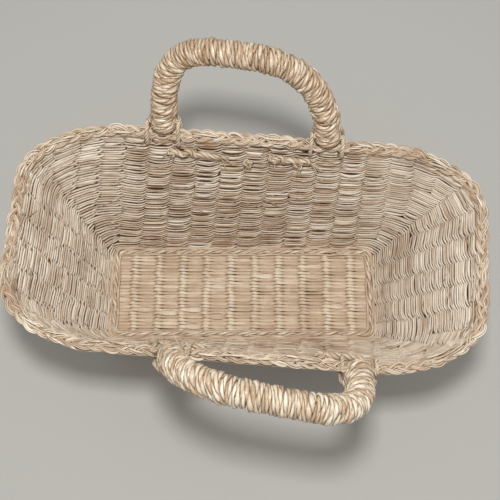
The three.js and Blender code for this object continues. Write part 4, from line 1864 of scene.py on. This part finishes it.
    def build(self) -> None:
        """Makes the winding and both lashings, and finishes the core."""
        rng = np.random.default_rng(self.seed + (0 if self.side is Side.BACK else 1))
        self.winding(rng).build(WRAP_GRASS, self.body, "wrap_grass", [f"{self.body}_wrap"])
        aslant = np.array([0.3, 0.2, 0.9])
        for hand, foot in self.feet.items():
            path = self.frame.placed(self.lashing_path(foot))
            points = smooth_line(path, self.lashing_samples)
            side, up = carried_frame(points, aslant)
            piece = StrandPiece(f"{self.side.label}_{hand}_lashing_cord")
            piece.add(*self.lashing_rope.strands(Line(points, side, up), rng, taper=self.lashing_taper))
            away = -self.frame.directed(self.leaning(self.lean)[1])
            for place, heading in ((points[2], points[0] - points[4]), (points[-3], points[-1] - points[-5])):
                piece.add(*(self.blade.strand(place, heading, away, rng)
                            for _ in range(rng.integers(0, self.blade_limit))))
            piece.build(CORD_GRASS, self.body, "cord_grass", [f"{self.side.label}_{hand}_lashing"])
        paint(frame["nodes"][f"{self.body}_core"], CORE_CANE)

    def slot_places(self) -> list[tuple[np.ndarray, np.ndarray]]:
        """Where its lashings go through the wall.

        Returns:
            For each gap, its middle and the direction along the rim.
        """
        along = self.frame.directed(np.array([1.0, 0.0, 0.0]))
        return [(self.frame.placed(np.array([foot + side * self.lashing_aside, 0.0, 0.0])), along)
                for foot in self.feet.values() for side in (-1, 1)]


@dataclass
class Tail:
    """A twisted cord end along the inside of the wall under the rim, with a knot where it starts.

    Some have more knots, each given by its place along the rim and how far it lies below the cord."""

    shape: BodyShape
    name: str
    side: Side
    start: float
    stop: float
    knots: tuple[tuple[float, float], ...] = ()
    drop: float = 17 * MM
    depth: float = 5.6 * MM
    bends: int = 9
    samples: int = 110
    waviness: float = 1.1 * MM
    size_range: float = 0.16
    size_wave: float = 31 * MM
    taper: float = 0.06
    knot_start: float = 3 * MM
    knot_fall: float = 0.5
    blades_at_knot: int = 3
    blades_at_end: int = 5
    seed: int = 61
    seeds: int = 97
    knot: Knot = field(default_factory=Knot)
    blade: LooseBlade = field(default_factory=LooseBlade)
    rope: Rope = field(default_factory=lambda: Rope(
        plies=3, ply_radius=1.55 * MM, lay_radius=1.5 * MM, pitch=17 * MM, roughness=0.3))

    def placed(self, along: np.ndarray, drop: float) -> tuple[np.ndarray, np.ndarray, np.ndarray]:
        """Places in front of the wall.

        Args:
            along: how far to the right of the rim's middle, seen from this side's own frame.
            drop: how far below the rim.

        Returns:
            Points, outward and upward directions.
        """
        first = self.shape.first_of(1 if self.side is Side.BACK else 3)
        direction = -1 if self.side is Side.BACK else 1
        middle = (self.shape.cross_stakes - 1) / 2
        row = self.shape.row(1 - drop / self.shape.slant)
        pitch = self.shape.cross_pitch_rim
        arcs = np.array([row.arc_at(first + direction * x / pitch + middle) for x in along])
        points, outward, upward = row.sampled(arcs)
        return points - outward * self.depth, outward, upward

    def build(self) -> None:
        """Twists the cord along the wall."""
        rng = np.random.default_rng(self.seed + int(abs(self.start) / MM) % self.seeds)
        points, outward, upward = self.placed(np.linspace(self.start, self.stop, self.bends), self.drop)
        wave = self.waviness * rng.normal(0, 1, self.bends)
        points = smooth_line(points + upward * wave[:, None], self.samples)
        side, up = carried_frame(points, UP)
        piece = StrandPiece(f"{self.name}_cord")
        size = 1 + self.size_range * wander(lengths_along(points), self.size_wave, rng)
        piece.add(*self.rope.strands(Line(points, side, up), rng, taper=self.taper, size=size))
        for x, below in ((self.start + self.knot_start, 0.0), *self.knots):
            middle, facing, _ = self.placed(np.array([x]), self.drop + below)
            piece.add(*self.knot.strands(middle[0], facing[0], rng))
            piece.add(*(self.blade.strand(middle[0], rng.normal(0, 1, 3) - self.knot_fall * UP,
                                          -facing[0], rng) for _ in range(self.blades_at_knot)))
        piece.add(*(self.blade.strand(points[-4], points[-1] - points[-6], -outward[-1], rng)
                    for _ in range(self.blades_at_end)))
        piece.build(CORD_GRASS, "basket", "cord_grass", [self.name])


@dataclass
class Frays:
    """Broken blades and stray ends of grass on the walls and along the rim, clear of the lashings."""

    shape: BodyShape
    slots: Slots
    inside: int = 210
    outside: int = 90
    on_rim: int = 130
    under_rim: int = 150
    under_shares: tuple[float, ...] = (0.945, 0.958, 0.97, 0.982)
    under_size: float = 1.5
    clearance: float = 5 * MM
    levels: int = 30
    start_shares: tuple[float, float] = (0.06, 0.93)
    start_bias: float = 0.8
    surface: float = 2.5 * MM
    sections: int = 8
    blade_thick: float = 0.3 * MM
    blade_slant: float = 0.3
    blade_narrowing: float = 3.5
    blade_tip: float = 0.25
    blade_tones: tuple[float, float] = (0.15, 1.0)
    flake_level: float = 4.2 * MM
    flake_thick: float = 0.35 * MM
    flake_ends: tuple[float, float] = (0.12, 0.9)
    flake_fullness: float = 0.6
    flake_tones: tuple[float, float] = (0.4, 1.0)
    # Drawn in millimetres.
    blade_lengths: tuple[float, float] = (6, 24)
    blade_lifts: tuple[float, float] = (0.2, 2.2)
    blade_bow: float = 0.8
    blade_widths: tuple[float, float] = (0.35, 0.95)
    flake_lengths: tuple[float, float] = (10, 28)
    flake_aside: float = 5.2
    flake_slew: float = 2.2
    flake_fall: float = 2.0
    flake_arch: float = 0.9
    flake_widths: tuple[float, float] = (0.5, 1.25)
    seed: int = 71

    def build(self) -> None:
        """Lays the blades."""
        rng = np.random.default_rng(self.seed)
        rows = [self.shape.row(share) for share in np.linspace(*self.start_shares, self.levels)]
        walls = StrandPiece("wall_frays", 5)
        for n in range(self.inside + self.outside):
            inward = 1.0 if n < self.inside else -1.0
            row = rows[int(self.levels * rng.uniform(0, 1) ** self.start_bias)]
            self.lay(walls, self.blade(row, rng.uniform(0, row.length), inward, rng))
        walls.build(WALL_GRASS, "basket", "weft_grass")
        rim = StrandPiece("rim_frays", 5)
        tops = self.shape.tops
        edge = RowLine(tops + UP * self.flake_level, self.shape.row(1.0).outward, np.tile(UP, (len(tops), 1)),
                       self.shape.place, lengths_along(tops))
        for _ in range(self.on_rim):
            self.lay(rim, self.flake(edge, rng.uniform(0, edge.length), rng))
        under = [self.shape.row(share) for share in self.under_shares]
        for n in range(self.under_rim):
            row = under[n % len(under)]
            self.lay(rim, self.blade(row, rng.uniform(0, row.length), 1.0, rng, self.under_size))
        rim.build(RIM_GRASS, "basket", "braid_grass")

    def lay(self, piece: StrandPiece, strand: Strand) -> None:
        """Adds a strand to a piece, unless it comes too near a lashing."""
        if self.slots.clear(strand, self.clearance).all():
            piece.add(strand)

    def blade(self, row: RowLine, start: float, inward: float, rng: np.random.Generator,
              size: float = 1.0) -> Strand:
        """One blade on a wall, that lifts off it at one end.

        Args:
            row: the row that it starts on.
            start: where it starts on the row.
            inward: one on the inside of the wall, minus one on the outside.
            rng: the source of its size.
            size: how much larger than a plain blade it is.

        Returns:
            The blade.
        """
        share = np.linspace(0, 1, self.sections)
        length = rng.uniform(*self.blade_lengths) * MM * size
        turn = rng.normal(0, self.blade_slant) / size
        heading = rng.choice([-1.0, 1.0])
        points, outward, upward = row.sampled(start + heading * length * math.cos(turn) * share)
        lift = rng.uniform(*self.blade_lifts) * MM * share ** 2
        bow = rng.normal(0, self.blade_bow) * MM * share * (1 - share) * 4
        rise = length * math.sin(turn) * share + bow
        centre = points - outward * (inward * (self.surface + lift))[:, None] + upward * rise[:, None]
        across = square_to(centre, outward)
        narrow = np.clip(self.blade_narrowing * (1 - share), self.blade_tip, 1)
        width = rng.uniform(*self.blade_widths) * MM * size * narrow
        tone = rng.uniform(*self.blade_tones)
        return Strand(centre, across, outward, width, self.blade_thick * size, tone)

    def flake(self, edge: RowLine, start: float, rng: np.random.Generator) -> Strand:
        """One loose leaf of the plait.

        Args:
            edge: the line along the rim's top.
            start: where it starts on it.
            rng: the source of its size.

        Returns:
            The leaf.
        """
        share = np.linspace(0, 1, self.sections)
        length = rng.uniform(*self.flake_lengths) * MM
        points, outward, upward = edge.sampled(start + length * share)
        side = rng.uniform(-1, 1)
        aside = (self.flake_aside * side + rng.normal(0, self.flake_slew) * (share - 0.5)) * MM
        level = self.flake_arch - self.flake_fall * side * side
        arch = level + self.flake_arch * np.sin(math.pi * share)
        above = (arch + rng.uniform(0, self.flake_arch) * share) * MM
        centre = points + outward * aside[:, None] + upward * above[:, None]
        across = square_to(centre, upward)
        leaf = np.sin(math.pi * np.clip(share, *self.flake_ends)) ** self.flake_fullness
        width = rng.uniform(*self.flake_widths) * MM * leaf
        return Strand(centre, across, upward, width, self.flake_thick, rng.uniform(*self.flake_tones))


def paint(piece: bpy.types.Object, finish: GrassFinish) -> None:
    """Gives a piece one finish all over."""
    piece.data.materials.clear()
    piece.data.materials.append(finish.material())


# Stage


@dataclass
class Stage:
    """The floor, the lights and the camera."""

    floor_colour: tuple[float, float, float, float] = linear(190, 188, 182)
    floor_size: float = 4.0
    floor_roughness: float = 0.9
    camera_place: tuple[float, float, float] = (3.6 * MM, -272.9 * MM, 938.1 * MM)
    camera_tilt: float = math.radians(18.8)
    lens: float = 67.1
    clip_start: float = 0.01
    key_place: tuple[float, float, float] = (0.0, -0.11, 1.25)
    key_size: float = 0.16
    key_power: float = 8.8
    key_target: tuple[float, float, float] = (0.0, 0.0, 0.08)
    sky: float = 0.46
    backdrop: float = 0.6

    def build(self) -> None:
        """Sets everything round the basket."""
        scene = bpy.context.scene
        scene.view_settings.view_transform = "Standard"
        bm = bmesh.new()
        bmesh.ops.create_grid(bm, x_segments=1, y_segments=1, size=self.floor_size)
        mesh = made_mesh(bm, "floor")
        floor = bpy.data.objects.new("floor", mesh)
        scene.collection.objects.link(floor)
        material = bpy.data.materials.new("floor")
        material.use_nodes = True
        shader = material.node_tree.nodes["Principled BSDF"]
        shader.inputs["Base Color"].default_value = self.floor_colour
        shader.inputs["Roughness"].default_value = self.floor_roughness
        mesh.materials.append(material)
        self.lamp("key", self.key_place, self.key_size, self.key_power)
        world = bpy.data.worlds.new("studio")
        world.use_nodes = True
        tree = world.node_tree
        rays = tree.nodes.new("ShaderNodeLightPath").outputs
        seen = computed(tree, "MAXIMUM", rays["Is Camera Ray"], rays["Is Glossy Ray"])
        seen = computed(tree, "MAXIMUM", seen, rays["Is Transmission Ray"])
        sky = ranged(tree, seen, 0.0, 1.0, self.sky, self.backdrop)
        tree.links.new(sky, tree.nodes["Background"].inputs["Strength"])
        tree.nodes["Background"].inputs["Color"].default_value = (1.0, 1.0, 1.0, 1.0)
        scene.world = world
        camera = bpy.data.objects.new("camera", bpy.data.cameras.new("camera"))
        camera.data.lens = self.lens
        camera.data.clip_start = self.clip_start
        camera.location = self.camera_place
        camera.rotation_euler = (self.camera_tilt, 0.0, 0.0)
        scene.collection.objects.link(camera)
        scene.camera = camera

    def lamp(self, name: str, place: tuple[float, float, float], size: float, power: float) -> None:
        """Hangs one square lamp that faces the basket.

        Args:
            name: the lamp's name.
            place: where it hangs.
            size: how wide it is.
            power: how strong it is, in watts.
        """
        light = bpy.data.lights.new(name, "AREA")
        light.size = size
        light.energy = power
        lamp = bpy.data.objects.new(name, light)
        lamp.location = place
        lamp.rotation_mode = "QUATERNION"
        lamp.rotation_quaternion = (Vector(self.key_target) - Vector(place)).to_track_quat("-Z", "Y")
        bpy.context.scene.collection.objects.link(lamp)


def main() -> None:
    """Builds every sub-assembly in order."""
    logging.basicConfig(level=logging.INFO, format="%(message)s")
    Stage().build()
    shape = BodyShape()
    handles = [
        Handle(shape, Side.BACK, half_span=76 * MM, shift=-9.5 * MM, rise=85.7 * MM),
        Handle(shape, Side.FRONT, half_span=80 * MM, shift=-25 * MM, rise=83.5 * MM),
    ]
    slots = Slots([place for handle in handles for place in handle.slot_places()])
    Walls(shape, slots).build()
    CornerStakes(shape).build()
    Base(shape).build()
    Borders(shape).build()
    Rim(shape).build()
    for handle in handles:
        handle.build()
    for name, side, start, stop, knots in (
        ("back_left_tail", Side.BACK, -79 * MM, -29 * MM, ()),
        ("back_right_tail", Side.BACK, 16 * MM, 54 * MM, ((43 * MM, 6 * MM), (-4 * MM, 8 * MM))),
        ("front_left_tail", Side.FRONT, -76 * MM, -26 * MM, ((-50 * MM, 0.0),)),
        ("front_right_tail", Side.FRONT, 68 * MM, 107 * MM, ()),
    ):
        Tail(shape, name, side, start, stop, knots).build()
    Frays(shape, slots).build()
    for name, node in frame["nodes"].items():
        if "stake" in name and not node.hide_render:
            paint(node, STAKE_GRASS)


if __name__ == "__main__":
    main()
